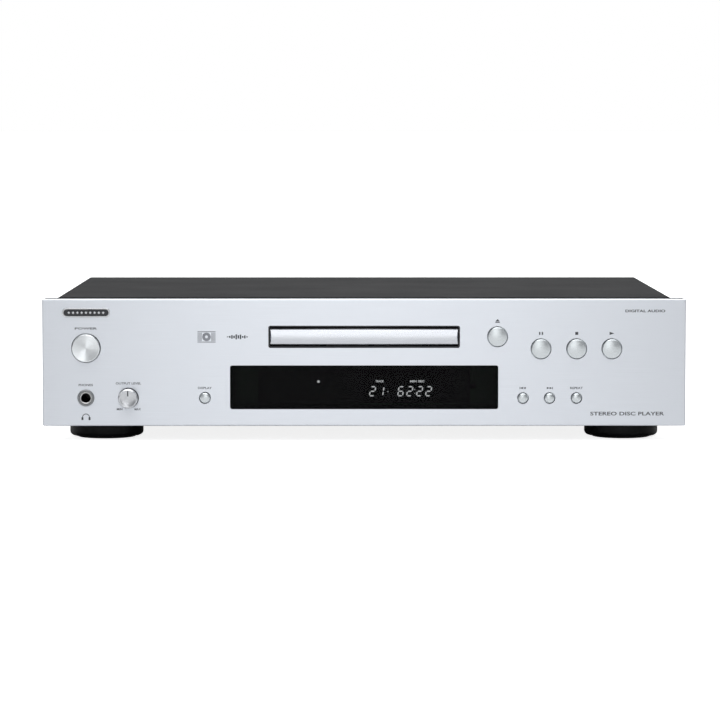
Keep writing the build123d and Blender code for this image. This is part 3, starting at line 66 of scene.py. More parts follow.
# ---------------------------------------------------------------- materials
class Surface:
    """A Principled material whose colour, roughness and relief follow patterns fixed to the object."""

    def __init__(self, name, colour, roughness, metallic=0.0, **plain):
        self.material = bpy.data.materials.new(name)
        self.material.use_nodes = True
        self.nodes = self.material.node_tree.nodes
        self.links = self.material.node_tree.links
        self.shader = next(n for n in self.nodes if n.type == "BSDF_PRINCIPLED")
        self.colour = (*colour, 1.0)
        self.shader.inputs["Base Color"].default_value = self.colour
        self.shader.inputs["Roughness"].default_value = roughness
        self.shader.inputs["Metallic"].default_value = metallic
        for socket, value in plain.items():
            self.shader.inputs[socket.replace("_", " ")].default_value = value
        self.place = self.nodes.new("ShaderNodeTexCoord").outputs["Object"]
        self.height = None

    def scaled(self, grain):
        """Object coordinates divided by the grain's length along each axis."""
        mapping = self.nodes.new("ShaderNodeMapping")
        mapping.inputs["Scale"].default_value = [1 / length for length in grain]
        self.links.new(self.place, mapping.inputs["Vector"])
        return mapping.outputs["Vector"]

    def noise(self, grain, detail=2.0, rough=0.5):
        """Cloudy noise whose features are about one grain long on each axis."""
        node = self.nodes.new("ShaderNodeTexNoise")
        node.inputs["Scale"].default_value = 1.0
        node.inputs["Detail"].default_value = detail
        node.inputs["Roughness"].default_value = rough
        self.links.new(self.scaled(grain), node.inputs["Vector"])
        return node.outputs["Fac"]

    def cells(self, grain, feature="F1"):
        """Cells about one grain across."""
        node = self.nodes.new("ShaderNodeTexVoronoi")
        node.feature = feature
        node.inputs["Scale"].default_value = 1.0
        self.links.new(self.scaled(grain), node.inputs["Vector"])
        return node.outputs["Distance"]

    def tint(self, pattern, other, low=0.3, high=0.7):
        """Mixes the colour below the pattern with another colour."""
        ramp = self.ranged(pattern, low, high, 0.0, 1.0)
        mix = self.nodes.new("ShaderNodeMix")
        mix.data_type = "RGBA"
        base = self.shader.inputs["Base Color"]
        if base.is_linked:
            self.links.new(base.links[0].from_socket, mix.inputs["A"])
        else:
            mix.inputs["A"].default_value = self.colour
        mix.inputs["B"].default_value = (*other, 1.0)
        self.links.new(ramp, mix.inputs["Factor"])
        self.links.new(mix.outputs["Result"], base)
        return self

    def ranged(self, pattern, low, high, out_low, out_high):
        """Maps the pattern from one range to another."""
        node = self.nodes.new("ShaderNodeMapRange")
        limits = {"From Min": low, "From Max": high, "To Min": out_low, "To Max": out_high}
        for socket, value in limits.items():
            node.inputs[socket].default_value = value
        self.links.new(pattern, node.inputs["Value"])
        return node.outputs["Result"]

    def polish(self, pattern, smooth, rough, low=0.3, high=0.7):
        """Lets roughness follow the pattern."""
        self.links.new(self.ranged(pattern, low, high, smooth, rough), self.shader.inputs["Roughness"])
        return self

    def relief(self, pattern, height, strength=1.0):
        """Adds a bump of that height in metres over any bump there already is."""
        node = self.nodes.new("ShaderNodeBump")
        node.inputs["Strength"].default_value = strength
        node.inputs["Distance"].default_value = height
        self.links.new(pattern, node.inputs["Height"])
        if self.height is not None:
            self.links.new(self.height, node.inputs["Normal"])
        self.height = node.outputs["Normal"]
        self.links.new(self.height, self.shader.inputs["Normal"])
        return self

    def stretched(self, amount, axis):
        """Highlights stretched across fine lines that run round an axis."""
        tangent = self.nodes.new("ShaderNodeTangent")
        tangent.direction_type = "RADIAL"
        tangent.axis = axis
        self.shader.inputs["Anisotropic"].default_value = amount
        self.shader.inputs["Anisotropic Rotation"].default_value = 0.25
        self.links.new(tangent.outputs["Tangent"], self.shader.inputs["Tangent"])
        return self

    def rings(self, spacing):
        """A fine pattern of rings about the piece's own Y axis."""
        flat = self.nodes.new("ShaderNodeVectorMath")
        flat.operation = "MULTIPLY"
        flat.inputs[1].default_value = (1.0, 0.0, 1.0)
        self.links.new(self.place, flat.inputs[0])
        radius = self.nodes.new("ShaderNodeVectorMath")
        radius.operation = "LENGTH"
        self.links.new(flat.outputs["Vector"], radius.inputs[0])
        node = self.nodes.new("ShaderNodeTexNoise")
        node.noise_dimensions = "1D"
        node.inputs["Scale"].default_value = 1 / spacing
        node.inputs["Detail"].default_value = 3.0
        self.links.new(radius.outputs["Value"], node.inputs["W"])
        return node.outputs["Fac"]


def brushed(name, colour, roughness):
    """Anodised aluminium, brushed along X."""
    made = Surface(name, colour, roughness, 1.0)
    hair = made.noise((40 * MM, 2 * MM, 0.12 * MM), 3.0, 0.6)
    cloud = made.noise((90 * MM, 60 * MM, 30 * MM), 2.0)
    made.tint(hair, [c * 0.93 for c in colour], 0.35, 0.75)
    made.tint(cloud, [c * 0.975 for c in colour], 0.4, 0.7)
    made.polish(hair, roughness - 0.03, roughness + 0.05)
    made.relief(hair, 0.004 * MM, 0.35)
    return made.stretched(0.7, "Z").material


def satin(name, colour, roughness):
    """Fine bead-blasted metal."""
    made = Surface(name, colour, roughness, 1.0)
    grit = made.noise((0.15 * MM,) * 3, 2.0)
    cloud = made.noise((14 * MM,) * 3, 2.0)
    made.tint(cloud, [c * 0.96 for c in colour])
    made.polish(grit, roughness - 0.03, roughness + 0.04)
    made.relief(grit, 0.003 * MM, 0.3)
    return made.material


def turned(name, colour, roughness, spin):
    """Metal turned about the Y axis, with fine rings."""
    made = Surface(name, colour, roughness, 1.0)
    ring = made.rings(0.25 * MM)
    made.tint(ring, [c * 0.9 for c in colour], 0.35, 0.7)
    made.polish(ring, roughness - 0.03, roughness + 0.05)
    made.relief(ring, 0.004 * MM, 0.4)
    return made.stretched(spin, "Y").material


def powder_coat(name, colour, roughness):
    """Black paint baked on steel, with a fine even grain."""
    made = Surface(name, colour, roughness, Specular_IOR_Level=0.08)
    grain = made.noise((0.55 * MM,) * 3, 3.0, 0.6)
    cloud = made.noise((70 * MM,) * 3, 3.0)
    made.tint(cloud, [c * 1.25 for c in colour])
    made.polish(cloud, roughness - 0.05, roughness + 0.05)
    made.relief(grain, 0.05 * MM, 0.6)
    return made.material


def moulded(name, colour, roughness, grain_size=0.35 * MM, **plain):
    """Injection-moulded plastic with a fine eroded texture and faint flow marks."""
    made = Surface(name, colour, roughness, **plain)
    grain = made.noise((grain_size,) * 3, 3.0, 0.6)
    flow = made.noise((25 * MM, 6 * MM, 12 * MM), 3.0)
    made.tint(flow, [min(1.0, c * 1.18 + 0.002) for c in colour])
    made.polish(flow, roughness - 0.05, roughness + 0.06)
    made.relief(grain, 0.02 * MM, 0.5)
    return made.material


def sheet_steel(name, colour, roughness):
    """Zinc-plated sheet steel with a faint spangle and rolling marks."""
    made = Surface(name, colour, roughness, 1.0)
    spangle = made.cells((9 * MM,) * 3)
    rolled = made.noise((0.3 * MM, 30 * MM, 0.3 * MM), 2.0)
    made.tint(spangle, [c * 0.82 for c in colour], 0.2, 0.8)
    made.tint(rolled, [c * 0.93 for c in colour])
    made.polish(spangle, roughness - 0.08, roughness + 0.1, 0.1, 0.9)
    made.relief(rolled, 0.004 * MM, 0.3)
    return made.material


def plated(name, colour, roughness):
    """Bright plated metal with fine scratches."""
    made = Surface(name, colour, roughness, 1.0)
    scratch = made.noise((3 * MM, 0.2 * MM, 0.2 * MM), 3.0)
    made.tint(scratch, [c * 0.88 for c in colour], 0.45, 0.8)
    made.polish(scratch, roughness, roughness + 0.12)
    return made.material


def rubber(name, colour, roughness):
    """Dull rubber with a little dust."""
    made = Surface(name, colour, roughness, Specular_IOR_Level=0.3)
    dust = made.noise((6 * MM,) * 3, 4.0, 0.7)
    made.tint(dust, [c * 2.2 + 0.004 for c in colour], 0.5, 0.85)
    made.relief(made.noise((0.3 * MM,) * 3, 2.0), 0.03 * MM, 0.6)
    return made.material


def laminated(name, colour, roughness):
    """Stacked transformer plates, their edges seen as fine stripes along Y."""
    made = Surface(name, colour, roughness, 0.8)
    plates = made.noise((60 * MM, 0.5 * MM, 60 * MM), 1.0)
    stain = made.noise((8 * MM,) * 3, 4.0)
    made.tint(plates, [c * 0.55 for c in colour], 0.4, 0.6)
    made.tint(stain, [colour[0] * 1.1, colour[1] * 0.9, colour[2] * 0.75], 0.55, 0.8)
    made.relief(plates, 0.06 * MM, 0.6)
    return made.material


def circuit(name, colour, roughness):
    """Solder resist over copper tracks."""
    made = Surface(name, colour, roughness, Coat_Weight=0.3)
    tracks = made.cells((5 * MM, 5 * MM, 5 * MM), "DISTANCE_TO_EDGE")
    made.tint(tracks, [c * 1.7 for c in colour], 0.05, 0.03)
    made.tint(made.noise((30 * MM,) * 3), [c * 0.8 for c in colour])
    made.relief(tracks, 0.02 * MM, 0.3)
    return made.material


def tape(name, colour, roughness):
    """Winding tape in overlapping turns."""
    made = Surface(name, colour, roughness, Coat_Weight=0.2)
    turns = made.noise((80 * MM, 80 * MM, 4 * MM), 1.0)
    made.tint(turns, [c * 0.75 for c in colour], 0.4, 0.6)
    made.relief(turns, 0.1 * MM, 0.5)
    return made.material


def smoked(name):
    """Dark acrylic that lets the lit digits through."""
    made = Surface(name, (0.004, 0.004, 0.0045), 0.06, Alpha=0.62, Specular_IOR_Level=0.05)
    made.polish(made.noise((18 * MM,) * 3, 3.0), 0.05, 0.09)
    return made.material


def glowing(name, colour, strength):
    """Phosphor that gives its own light."""
    made = Surface(name, [c * 0.3 for c in colour], 0.5)
    made.shader.inputs["Emission Color"].default_value = (*colour, 1.0)
    made.shader.inputs["Emission Strength"].default_value = strength
    made.relief(made.noise((0.2 * MM,) * 3), 0.002 * MM, 0.2)
    return made.material


def ink(name, colour):
    """Screen-printed ink with slightly uneven cover."""
    made = Surface(name, colour, 0.55)
    made.tint(made.noise((0.6 * MM,) * 3, 3.0), [min(1.0, c * 1.25 + 0.01) for c in colour])
    return made.material


SILVER = (0.74, 0.77, 0.82)
LOOKS = {
    "face_aluminium": brushed("face_aluminium_look", SILVER, 0.34),
    "tray_aluminium": brushed("tray_aluminium_look", (0.70, 0.72, 0.76), 0.28),
    "button_metal": satin("button_metal_look", (0.73, 0.77, 0.79), 0.28),
    "knob_metal": turned("knob_metal_look", (0.68, 0.695, 0.72), 0.30, 0.5),
    # The headphone ring is partly its own dark plated colour and partly painted shade: its base is darkened
    # to stand for the shaded outline round the socket.
    "ring_metal": plated("ring_metal_and_painted_shade_look", (0.30, 0.31, 0.32), 0.26),
    "badge_metal": satin("badge_metal_look", (0.62, 0.63, 0.65), 0.25),
    "frame_plastic": moulded("frame_plastic_look", (0.030, 0.031, 0.035), 0.5),
    "smoked_window": smoked("smoked_window_look"),
    "tube_glass": moulded("tube_glass_look", (0.02, 0.022, 0.022), 0.12),
    "circuit_board": circuit("circuit_board_look", (0.03, 0.12, 0.045), 0.35),
    "switch_plastic": moulded("switch_plastic_look", (0.02, 0.02, 0.02), 0.45),
    "socket_plastic": moulded("socket_plastic_look", (0.012, 0.012, 0.013), 0.4),
    "shaft_steel": plated("shaft_steel_look", (0.6, 0.6, 0.6), 0.25),
    "cover_paint": powder_coat("cover_paint_look", (0.022, 0.022, 0.023), 0.6),
    "chassis_steel": sheet_steel("chassis_steel_look", (0.60, 0.61, 0.62), 0.38),
    "panel_paint": powder_coat("panel_paint_look", (0.022, 0.022, 0.023), 0.5),
    "foot_plastic": moulded("foot_plastic_look", (0.003, 0.003, 0.0035), 0.42, Specular_IOR_Level=0.16),
    "pad_rubber": rubber("pad_rubber_look", (0.012, 0.012, 0.013), 0.85),
    "screw_black": plated("screw_black_look", (0.05, 0.05, 0.055), 0.35),
    "core_steel": laminated("core_steel_look", (0.30, 0.28, 0.26), 0.5),
    "coil_tape": tape("coil_tape_look", (0.55, 0.40, 0.06), 0.4),
    "component_black": moulded("component_black_look", (0.014, 0.014, 0.016), 0.4),
    "cable_white": moulded("cable_white_look", (0.62, 0.62, 0.60), 0.5),
    "sleeve_metal": plated("sleeve_metal_look", (0.72, 0.71, 0.68), 0.18),
    "pin_metal": plated("pin_metal_look", (0.70, 0.69, 0.66), 0.2),
    "loader_plastic": moulded("loader_plastic_look", (0.018, 0.018, 0.020), 0.5),
    "tray_plastic": moulded("tray_plastic_look", (0.022, 0.022, 0.025), 0.45),
    "gear_plastic": moulded("gear_plastic_look", (0.70, 0.69, 0.64), 0.45, Subsurface_Weight=0.05),
    "clamper_plastic": moulded("clamper_plastic_look", (0.025, 0.025, 0.028), 0.4),
    "motor_steel": sheet_steel("motor_steel_look", (0.58, 0.59, 0.60), 0.3),
    "belt_rubber": rubber("belt_rubber_look", (0.015, 0.015, 0.016), 0.7),
    "deck_plastic": moulded("deck_plastic_look", (0.030, 0.030, 0.034), 0.5),
    "sled_plastic": moulded("sled_plastic_look", (0.02, 0.02, 0.022), 0.45),
    "lens_glass": moulded("lens_glass_look", (0.05, 0.06, 0.12), 0.04, Coat_Weight=0.6),
}
SPUN = turned("spun_cap_look", (0.86, 0.89, 0.91), 0.26, 0.93)
GREY_INK = ink("grey_ink_look", (0.045, 0.048, 0.055))
PALE_INK = ink("pale_ink_look", (0.24, 0.25, 0.28))
WHITE_INK = ink("white_ink_look", (0.75, 0.75, 0.73))
ENAMEL = moulded("badge_enamel_look", (0.02, 0.021, 0.025), 0.25)
# Near-black look of the strip behind the tray slot: painted shade for the gap over the tray.
SHADE_SHEET = rubber("shade_sheet_look", (0.006, 0.006, 0.007), 0.95)
LIT = glowing("lit_segment_look", (0.86, 0.88, 0.90), 3.0)

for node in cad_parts.values():
    for slot in node.material_slots:
        slot.material = LOOKS[slot.material.name]


# ---------------------------------------------------------------- mesh helpers
def finished(name, mesh, material, body, smooth_angle=35.0):
    """Turns a bmesh into a piece that rides on a body."""
    bmesh.ops.remove_doubles(mesh, verts=mesh.verts, dist=WELD)
    bmesh.ops.recalc_face_normals(mesh, faces=mesh.faces)
    data = bpy.data.meshes.new(name)
    mesh.to_mesh(data)
    mesh.free()
    data.materials.append(material)
    piece = bpy.data.objects.new(name, data)
    bpy.context.scene.collection.objects.link(piece)
    data.shade_smooth()
    data.set_sharp_from_angle(angle=math.radians(smooth_angle))
    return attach(piece, body)


def arc(centre, radius, start, end, steps):
    """Points on an arc, angles in degrees."""
    points = []
    for step in range(steps + 1):
        angle = math.radians(start + (end - start) * step / steps)
        points.append((centre[0] + radius * math.cos(angle), centre[1] + radius * math.sin(angle)))
    return points


def circle(mesh, radius, y, steps):
    """Adds a circle of points about the Y axis."""
    angles = [2 * math.pi * step / steps for step in range(steps)]
    return [mesh.verts.new((radius * math.cos(a), y, radius * math.sin(a))) for a in angles]


def tube(profile, steps):
    """Revolves a closed outline of (radius, y), clear of the Y axis, about that axis."""
    mesh = bmesh.new()
    rows = [circle(mesh, radius, y, steps) for radius, y in profile]
    for one, other in zip(rows, rows[1:] + rows[:1]):
        for step in range(steps):
            following = (step + 1) % steps
            mesh.faces.new((one[step], other[step], other[following], one[following]))
    return mesh


def lathe(profile, steps):
    """Revolves points of (radius, y) about the Y axis; the first and last lie on it."""
    mesh = bmesh.new()
    rows = []
    for radius, y in profile:
        if radius < WELD:
            rows.append([mesh.verts.new((0, y, 0))])
        else:
            rows.append(circle(mesh, radius, y, steps))
    for one, other in zip(rows, rows[1:]):
        for step in range(steps):
            following = (step + 1) % steps
            corners = [one[step % len(one)], other[step % len(other)]]
            if len(other) > 1:
                corners.append(other[following])
            if len(one) > 1:
                corners.append(one[following])
            mesh.faces.new(corners)
    return mesh


# ---------------------------------------------------------------- buttons
def cap_profile(radius, front, crown, rim):
    """Front of a round cap, from the axis outwards. A crown below zero hollows the face."""
    flat = radius - rim
    steps = 14
    rise = max(crown, 0.0)
    face = [(flat * i / steps, front + rise - crown * (1 - (i / steps) ** 2)) for i in range(steps + 1)]
    return face + arc((flat, front + rise + rim), rim, -90, 0, 8)[1:]


def button(node, dish, rim, material):
    """Replaces a button's CAD node with a finer turned one of the same size."""
    low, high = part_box(node)
    centre = middle(node)
    flange = (high.x - low.x) / 2
    radius = flange - CAP_FLANGE
    flange_front = FACE_Y + FACE_THICKNESS + 0.3 * MM
    flange_back = flange_front + 1.5 * MM
    stem = 1.8 * MM
    profile = cap_profile(radius, low.y, dish, rim)
    profile += [
        (radius, flange_front), (flange, flange_front), (flange, flange_back),
        (stem, flange_back), (stem, high.y), (0, high.y),
    ]
    piece = finished(f"{node}_cap", lathe(profile, 96), material, node)
    piece.location = (centre.x, 0, centre.z)
    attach(piece, node)
    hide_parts(node)
    return piece


button("power_button", -0.3 * MM, 0.5 * MM, SPUN)
for name in ("eject", "pause", "stop", "play"):
    button(f"{name}_button", 0.45 * MM, 0.7 * MM, LOOKS["button_metal"])
for name in ("display", "previous", "next", "repeat"):
    button(f"{name}_button", 0.2 * MM, 1.1 * MM, LOOKS["button_metal"])


def level_knob():
    """Replaces the level knob: a hollowed spun face, a bright lip and a ribbed skirt."""
    low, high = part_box("level_knob")
    centre = middle("level_knob")
    radius, front, back = (high.x - low.x) / 2, low.y, high.y
    lip, bevel, skirt = 5.5 * MM, 0.8 * MM, front + 1.3 * MM
    face = [(lip * i / 12, front + 0.45 * MM * (1 - (i / 12) ** 4)) for i in range(13)]
    corner = 0.2 * MM
    profile = face + [
        (radius - bevel, front), (radius - corner, front + bevel - corner), (radius, front + bevel),
        (radius, skirt), (radius - 0.25 * MM, skirt), (radius - 0.25 * MM, back), (0, back),
    ]
    piece = finished("level_knob_cap", lathe(profile, 120), LOOKS["knob_metal"], "knob")
    piece.location = (centre.x, 0, centre.z)
    ribs = bmesh.new()
    count, inner, outer = 60, radius - 0.4 * MM, radius
    for step in range(count):
        turn = Matrix.Rotation(2 * math.pi * step / count, 4, "Y")
        half = 0.18 * MM
        corners = [(inner, -half), (outer, -half / 3), (outer, half / 3), (inner, half)]
        ends = (skirt + 0.1 * MM, back)
        rows = [[ribs.verts.new(turn @ Vector((r, y, z))) for r, z in corners] for y in ends]
        for i in range(4):
            j = (i + 1) % 4
            ribs.faces.new((rows[0][i], rows[0][j], rows[1][j], rows[1][i]))
        ribs.faces.new(rows[0][::-1])
        ribs.faces.new(rows[1])
    skirt_piece = finished("level_knob_ribs", ribs, LOOKS["knob_metal"], "knob")
    skirt_piece.location = (centre.x, 0, centre.z)
    for made in (piece, skirt_piece):
        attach(made, "knob")
    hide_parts("level_knob")


level_knob()


def phones_liner():
    """Nickel mouth of the headphone socket, stepped in from the ring round it."""
    centre = middle("phones_ring")
    bore, edge, front = 3.25 * MM, 4.35 * MM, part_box("phones_ring")[0].y + 0.25 * MM
    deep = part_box("phones_jack")[0].y - 0.02 * MM
    bevel = 0.35 * MM
    profile = [
        (edge, deep), (edge, front + bevel), (edge - bevel, front),
        (bore + bevel, front), (bore, front + 0.3 * MM), (bore, deep),
    ]
    piece = finished("phones_liner", tube(profile, 72), LOOKS["shaft_steel"], "case")
    piece.location = (centre.x, 0, centre.z)
    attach(piece, "case")


phones_liner()


# ---------------------------------------------------------------- small fittings
def slot_shade_sheet():
    """Painted shade: a near-black felt-like strip that hangs behind the top of the tray slot, so the gap
    over the tray shows dark.
    """
    half, top, bottom = 62.0 * MM, 80.0 * MM, 74.6 * MM
    front, back = FACE_Y + 10.15 * MM, FACE_Y + 11.4 * MM
    middle_y, hem, steps = (front + back) / 2, 0.6 * MM, 124
    mesh = bmesh.new()
    rows = []
    for step in range(steps + 1):
        x = -half + 2 * half * step / steps
        fringe = bottom + 0.12 * MM * math.sin(step * 1.7) * math.sin(step * 0.61)
        outline = [
            (front, top), (front, fringe + hem), (middle_y, fringe), (back, fringe + hem), (back, top),
        ]
        rows.append([mesh.verts.new((x, y, z)) for y, z in outline])
    for one, other in zip(rows, rows[1:]):
        for i in range(5):
            j = (i + 1) % 5
            mesh.faces.new((one[i], one[j], other[j], other[i]))
    mesh.faces.new(rows[0][::-1])
    mesh.faces.new(rows[-1])
    return finished("slot_shade_sheet", mesh, SHADE_SHEET, "case")


def washer(name, x, z, outer, inner, front, thickness, material):
    """A chamfered ring on the rear panel."""
    bevel = 0.2 * MM
    profile = [
        (inner, front), (inner, front + thickness), (outer - bevel, front + thickness),
        (outer, front + thickness - bevel), (outer, front),
    ]
    piece = finished(name, tube(profile, 64), material, "case")
    piece.location = (x, 0, z)
    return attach(piece, "case")


slot_shade_sheet()
COLLAR_BACK = REAR_Y + 1.2 * MM
for name, x, z, colour in (
    ("left_socket_ring", 168.0, 54.0, (0.72, 0.71, 0.68)),
    ("right_socket_ring", 168.0, 38.0, (0.50, 0.022, 0.018)),
    ("coaxial_socket_ring", 128.0, 38.0, (0.72, 0.19, 0.015)),
):
    tinted = moulded(f"{name}_look", colour, 0.38)
    washer(name, x * MM, z * MM, 5.6 * MM, 4.2 * MM, COLLAR_BACK, 1.1 * MM, tinted)


# ---------------------------------------------------------------- printed marks
class Marks:
    """Flat marks on an upright wall, gathered into one thin piece. Places are millimetres across and up."""

    def __init__(self, y, facing=-1, thickness=INK, origin=(0.0, 0.0)):
        self.mesh = bmesh.new()
        self.y, self.facing, self.thickness, self.origin = y, facing, thickness, origin

    def spot(self, across, up, lift):
        """A place on the wall, lifted off it; across runs to the right for whoever looks at the wall."""
        x = -self.facing * (self.origin[0] + across) * MM
        return Vector((x, self.y + self.facing * lift, (self.origin[1] + up) * MM))

    def prism(self, outline):
        """A thin slab with that outline."""
        near = [self.mesh.verts.new(self.spot(u, v, self.thickness)) for u, v in outline]
        far = [self.mesh.verts.new(self.spot(u, v, 0)) for u, v in outline]
        self.mesh.faces.new(near)
        self.mesh.faces.new(far[::-1])
        for i in range(len(outline)):
            j = (i + 1) % len(outline)
            self.mesh.faces.new((near[i], far[i], far[j], near[j]))

    def bar(self, left, right, low, high):
        self.prism([(left, low), (right, low), (right, high), (left, high)])

    def disc(self, u, v, radius):
        self.prism(arc((u, v), radius, 0, 345, 23))

    def ring(self, u, v, outer, inner, start=0.0, end=360.0):
        """A ring, or part of one between two angles."""
        steps = 48
        out, into = (arc((u, v), radius, start, end, steps) for radius in (outer, inner))
        for i in range(steps):
            self.prism([out[i], out[i + 1], into[i + 1], into[i]])

    def triangle(self, u, v, width, height, way):
        """A triangle in a box round its middle, pointing right (1), left (-1) or up (0)."""
        w, h = width / 2, height / 2
        if way == 0:
            self.prism([(u - w, v - h), (u + w, v - h), (u, v + h)])
        else:
            self.prism([(u - way * w, v - h), (u + way * w, v), (u - way * w, v + h)])

    def words(self, text, u, v, width, height, bold=0.02):
        """Plain capitals centred on a place, stretched to a width and height."""
        curve = bpy.data.curves.new("lettering", "FONT")
        curve.body = text
        curve.resolution_u = 3
        curve.offset = bold
        holder = bpy.data.objects.new("lettering", curve)
        bpy.context.scene.collection.objects.link(holder)
        bpy.context.view_layer.update()
        evaluated = holder.evaluated_get(bpy.context.evaluated_depsgraph_get())
        letters = bpy.data.meshes.new_from_object(evaluated)
        spread = [[p.co[axis] for p in letters.vertices] for axis in (0, 1)]
        lows = [min(s) for s in spread]
        sizes = [max(s) - min(s) for s in spread]
        flat = bmesh.new()
        flat.from_mesh(letters)
        bpy.data.objects.remove(holder)
        bpy.data.meshes.remove(letters)
        front = list(flat.faces)
        for point in flat.verts:
            across = u + ((point.co.x - lows[0]) / sizes[0] - 0.5) * width
            up = v + ((point.co.y - lows[1]) / sizes[1] - 0.5) * height
            point.co = self.spot(across, up, self.thickness)
        sunk = bmesh.ops.extrude_face_region(flat, geom=front)
        points = [g for g in sunk["geom"] if isinstance(g, bmesh.types.BMVert)]
        bmesh.ops.translate(flat, verts=points, vec=(0, -self.facing * self.thickness, 0))
        gathered = bpy.data.meshes.new("gathered")
        flat.to_mesh(gathered)
        flat.free()
        self.mesh.from_mesh(gathered)
        bpy.data.meshes.remove(gathered)

    def oval(self, u, v, width, height):
        """A bar with round ends."""
        half = (width - height) / 2
        self.prism(arc((u + half, v), height / 2, -90, 90, 12) + arc((u - half, v), height / 2, 90, 270, 12))

    def piece(self, name, material, body):
        return finished(name, self.mesh, material, body, 20.0)


def front_place(node):
    """A node's centre on the front, in millimetres."""
    centre = middle(node)
    return centre.x / MM, centre.z / MM


def front_legends():
    """Words and symbols over the controls."""
    marks = Marks(FACE_Y)
    small = 1.5
    for node, text, width, rise in (
        ("power_button", "POWER", 15.0, 13.3),
        ("phones_ring", "PHONES", 9.6, 8.8),
        ("level_knob", "OUTPUT LEVEL", 17.2, 9.9),
        ("display_button", "DISPLAY", 9.4, 6.7),
        ("repeat_button", "REPEAT", 8.6, 6.8),
    ):
        x, z = front_place(node)
        marks.words(text, x, z + rise, width, small)
    knob_x, knob_z = front_place("level_knob")
    marks.words("MIN", knob_x - 6.0, knob_z - 7.6, 3.8, small)
    marks.words("MAX", knob_x + 6.2, knob_z - 7.6, 4.2, small)
    return marks.piece("front_legends", GREY_INK, "case")


def knob_index_shade():
    """Painted shade: a dark bar at twelve o'clock in the knob's face, standing for the shade in its index
    groove.
    """
    x, z = front_place("level_knob")
    hollow = 0.46 * MM
    # The bar is drawn in the grey ink, but its dark is painted shade of the index groove, not print.
    line = Marks(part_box("level_knob")[0].y + hollow, origin=(x, z), thickness=hollow)
    line.bar(-0.38, 0.38, 1.8, 5.4)
    return line.piece("knob_index_shade", GREY_INK, "knob")


def transport_symbols():
    """Transport symbols over the disc controls."""
    marks = Marks(FACE_Y)
    over_large, over_small = 10.4, 6.8
    x, z = front_place("eject_button")
    marks.triangle(x, z + over_large + 0.7, 3.0, 1.6, 0)
    marks.bar(x - 1.5, x + 1.5, z + over_large - 1.0, z + over_large - 0.4)
    x, z = front_place("pause_button")
    for side in (-1, 1):
        marks.bar(x + side * 0.9 - 0.45, x + side * 0.9 + 0.45, z + over_large - 1.0, z + over_large + 1.0)
    x, z = front_place("stop_button")
    marks.bar(x - 1, x + 1, z + over_large - 1, z + over_large + 1)
    x, z = front_place("play_button")
    marks.triangle(x, z + over_large, 3.2, 2.2, 1)
    for node, way in (("previous_button", -1), ("next_button", 1)):
        x, z = front_place(node)
        for step in (-1, 1):
            marks.triangle(x + step * 0.95, z + over_small, 1.9, 1.5, way)
        marks.bar(x + way * 2.05 - 0.2, x + way * 2.05 + 0.2, z + over_small - 0.75, z + over_small + 0.75)
    return marks.piece("transport_symbols", GREY_INK, "case")


def disc_symbol():
    """A grey block with a plain disc cut out of it, left of the tray."""
    marks = Marks(FACE_Y, origin=(-106.5, 70.9))
    marks.bar(-6.1, 6.1, -3.8, -3.2)
    marks.bar(-6.1, 6.1, 3.2, 3.8)
    marks.ring(0, 0, 2.9, 1.0)
    for side in (-1, 1):
        for step in range(4):
            x = side * (3.5 + step * 0.75)
            marks.bar(x - 0.22, x + 0.22, -2.9, 2.9)
    return marks.piece("disc_symbol", PALE_INK, "case")


def wave_symbol():
    """A row of bars like a sound level, between the disc symbol and the tray."""
    marks = Marks(FACE_Y, origin=(-85.7, 70.9))
    heights = (0.6, 1.4, 2.4, 1.7, 3.4, 2.2, 3.0, 1.2, 2.0, 0.8)
    pitch = 1.45
    for step, height in enumerate(heights):
        x = (step - (len(heights) - 1) / 2) * pitch
        marks.bar(x - 0.5, x + 0.5, -height / 2, height / 2)
    return marks.piece("wave_symbol", GREY_INK, "case")


def headphone_symbol():
    """A headband with two ear cups, under the headphone socket."""
    x, z = front_place("phones_ring")
    marks = Marks(FACE_Y, origin=(x, z - 12.6))
    marks.ring(0, -0.6, 2.6, 2.1, 0, 180)
    for side in (-1, 1):
        marks.bar(side * 2.4 - 0.65, side * 2.4 + 0.65, -2.4, -0.4)
    return marks.piece("headphone_symbol", GREY_INK, "case")


def range_names():
    """Generic wording at the right-hand corners."""
    marks = Marks(FACE_Y)
    marks.words("DIGITAL AUDIO", 189.9, 88.4, 27.0, 1.8, 0.03)
    marks.words("STEREO DISC PLAYER", 178.0, 18.8, 50.0, 2.5)
    return marks.piece("corner_legends", GREY_INK, "case")


def badge():
    """Dark enamel let into the badge, with a plain row of bright lozenges."""
    x, z = front_place("name_badge")
    plate_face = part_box("name_badge")[0].y
    field = Marks(plate_face, origin=(x, z), thickness=0.04 * MM)
    field.oval(0, 0, 30.6, 4.7)
    field.piece("badge_field", ENAMEL, "case")
    row = Marks(plate_face, origin=(x, z), thickness=0.10 * MM)
    for step in range(-4, 5):
        u = step * 2.9
        row.prism([(u - 0.9, 0), (u, -0.9), (u + 0.9, 0), (u, 0.9)])
    row.piece("badge_lozenges", LOOKS["badge_metal"], "case")


def rear_legends():
    """Generic names of the sockets on the rear panel."""
    marks = Marks(REAR_Y, facing=1)
    for text, x, z, width, height in (
        ("LINE OUT", 168.0, 64.5, 17.0, 2.1),
        ("L", 178.6, 56.0, 1.5, 2.1),
        ("R", 178.6, 36.0, 1.7, 2.1),
        ("DIGITAL OUT", 128.0, 69.0, 22.0, 2.1),
        ("OPTICAL", 128.0, 64.3, 12.0, 1.7),
        ("COAXIAL", 128.0, 28.6, 12.0, 1.7),
        ("REMOTE", 94.0, 58.8, 12.6, 2.1),
        ("AC IN", -172.0, 57.6, 9.4, 2.1),
    ):
        marks.words(text, -x, z, width, height)
    return marks.piece("rear_legends", WHITE_INK, "case")


badge()
rear_legends()
knob_index_shade()
front_legends()
transport_symbols()
disc_symbol()
wave_symbol()
headphone_symbol()
range_names()


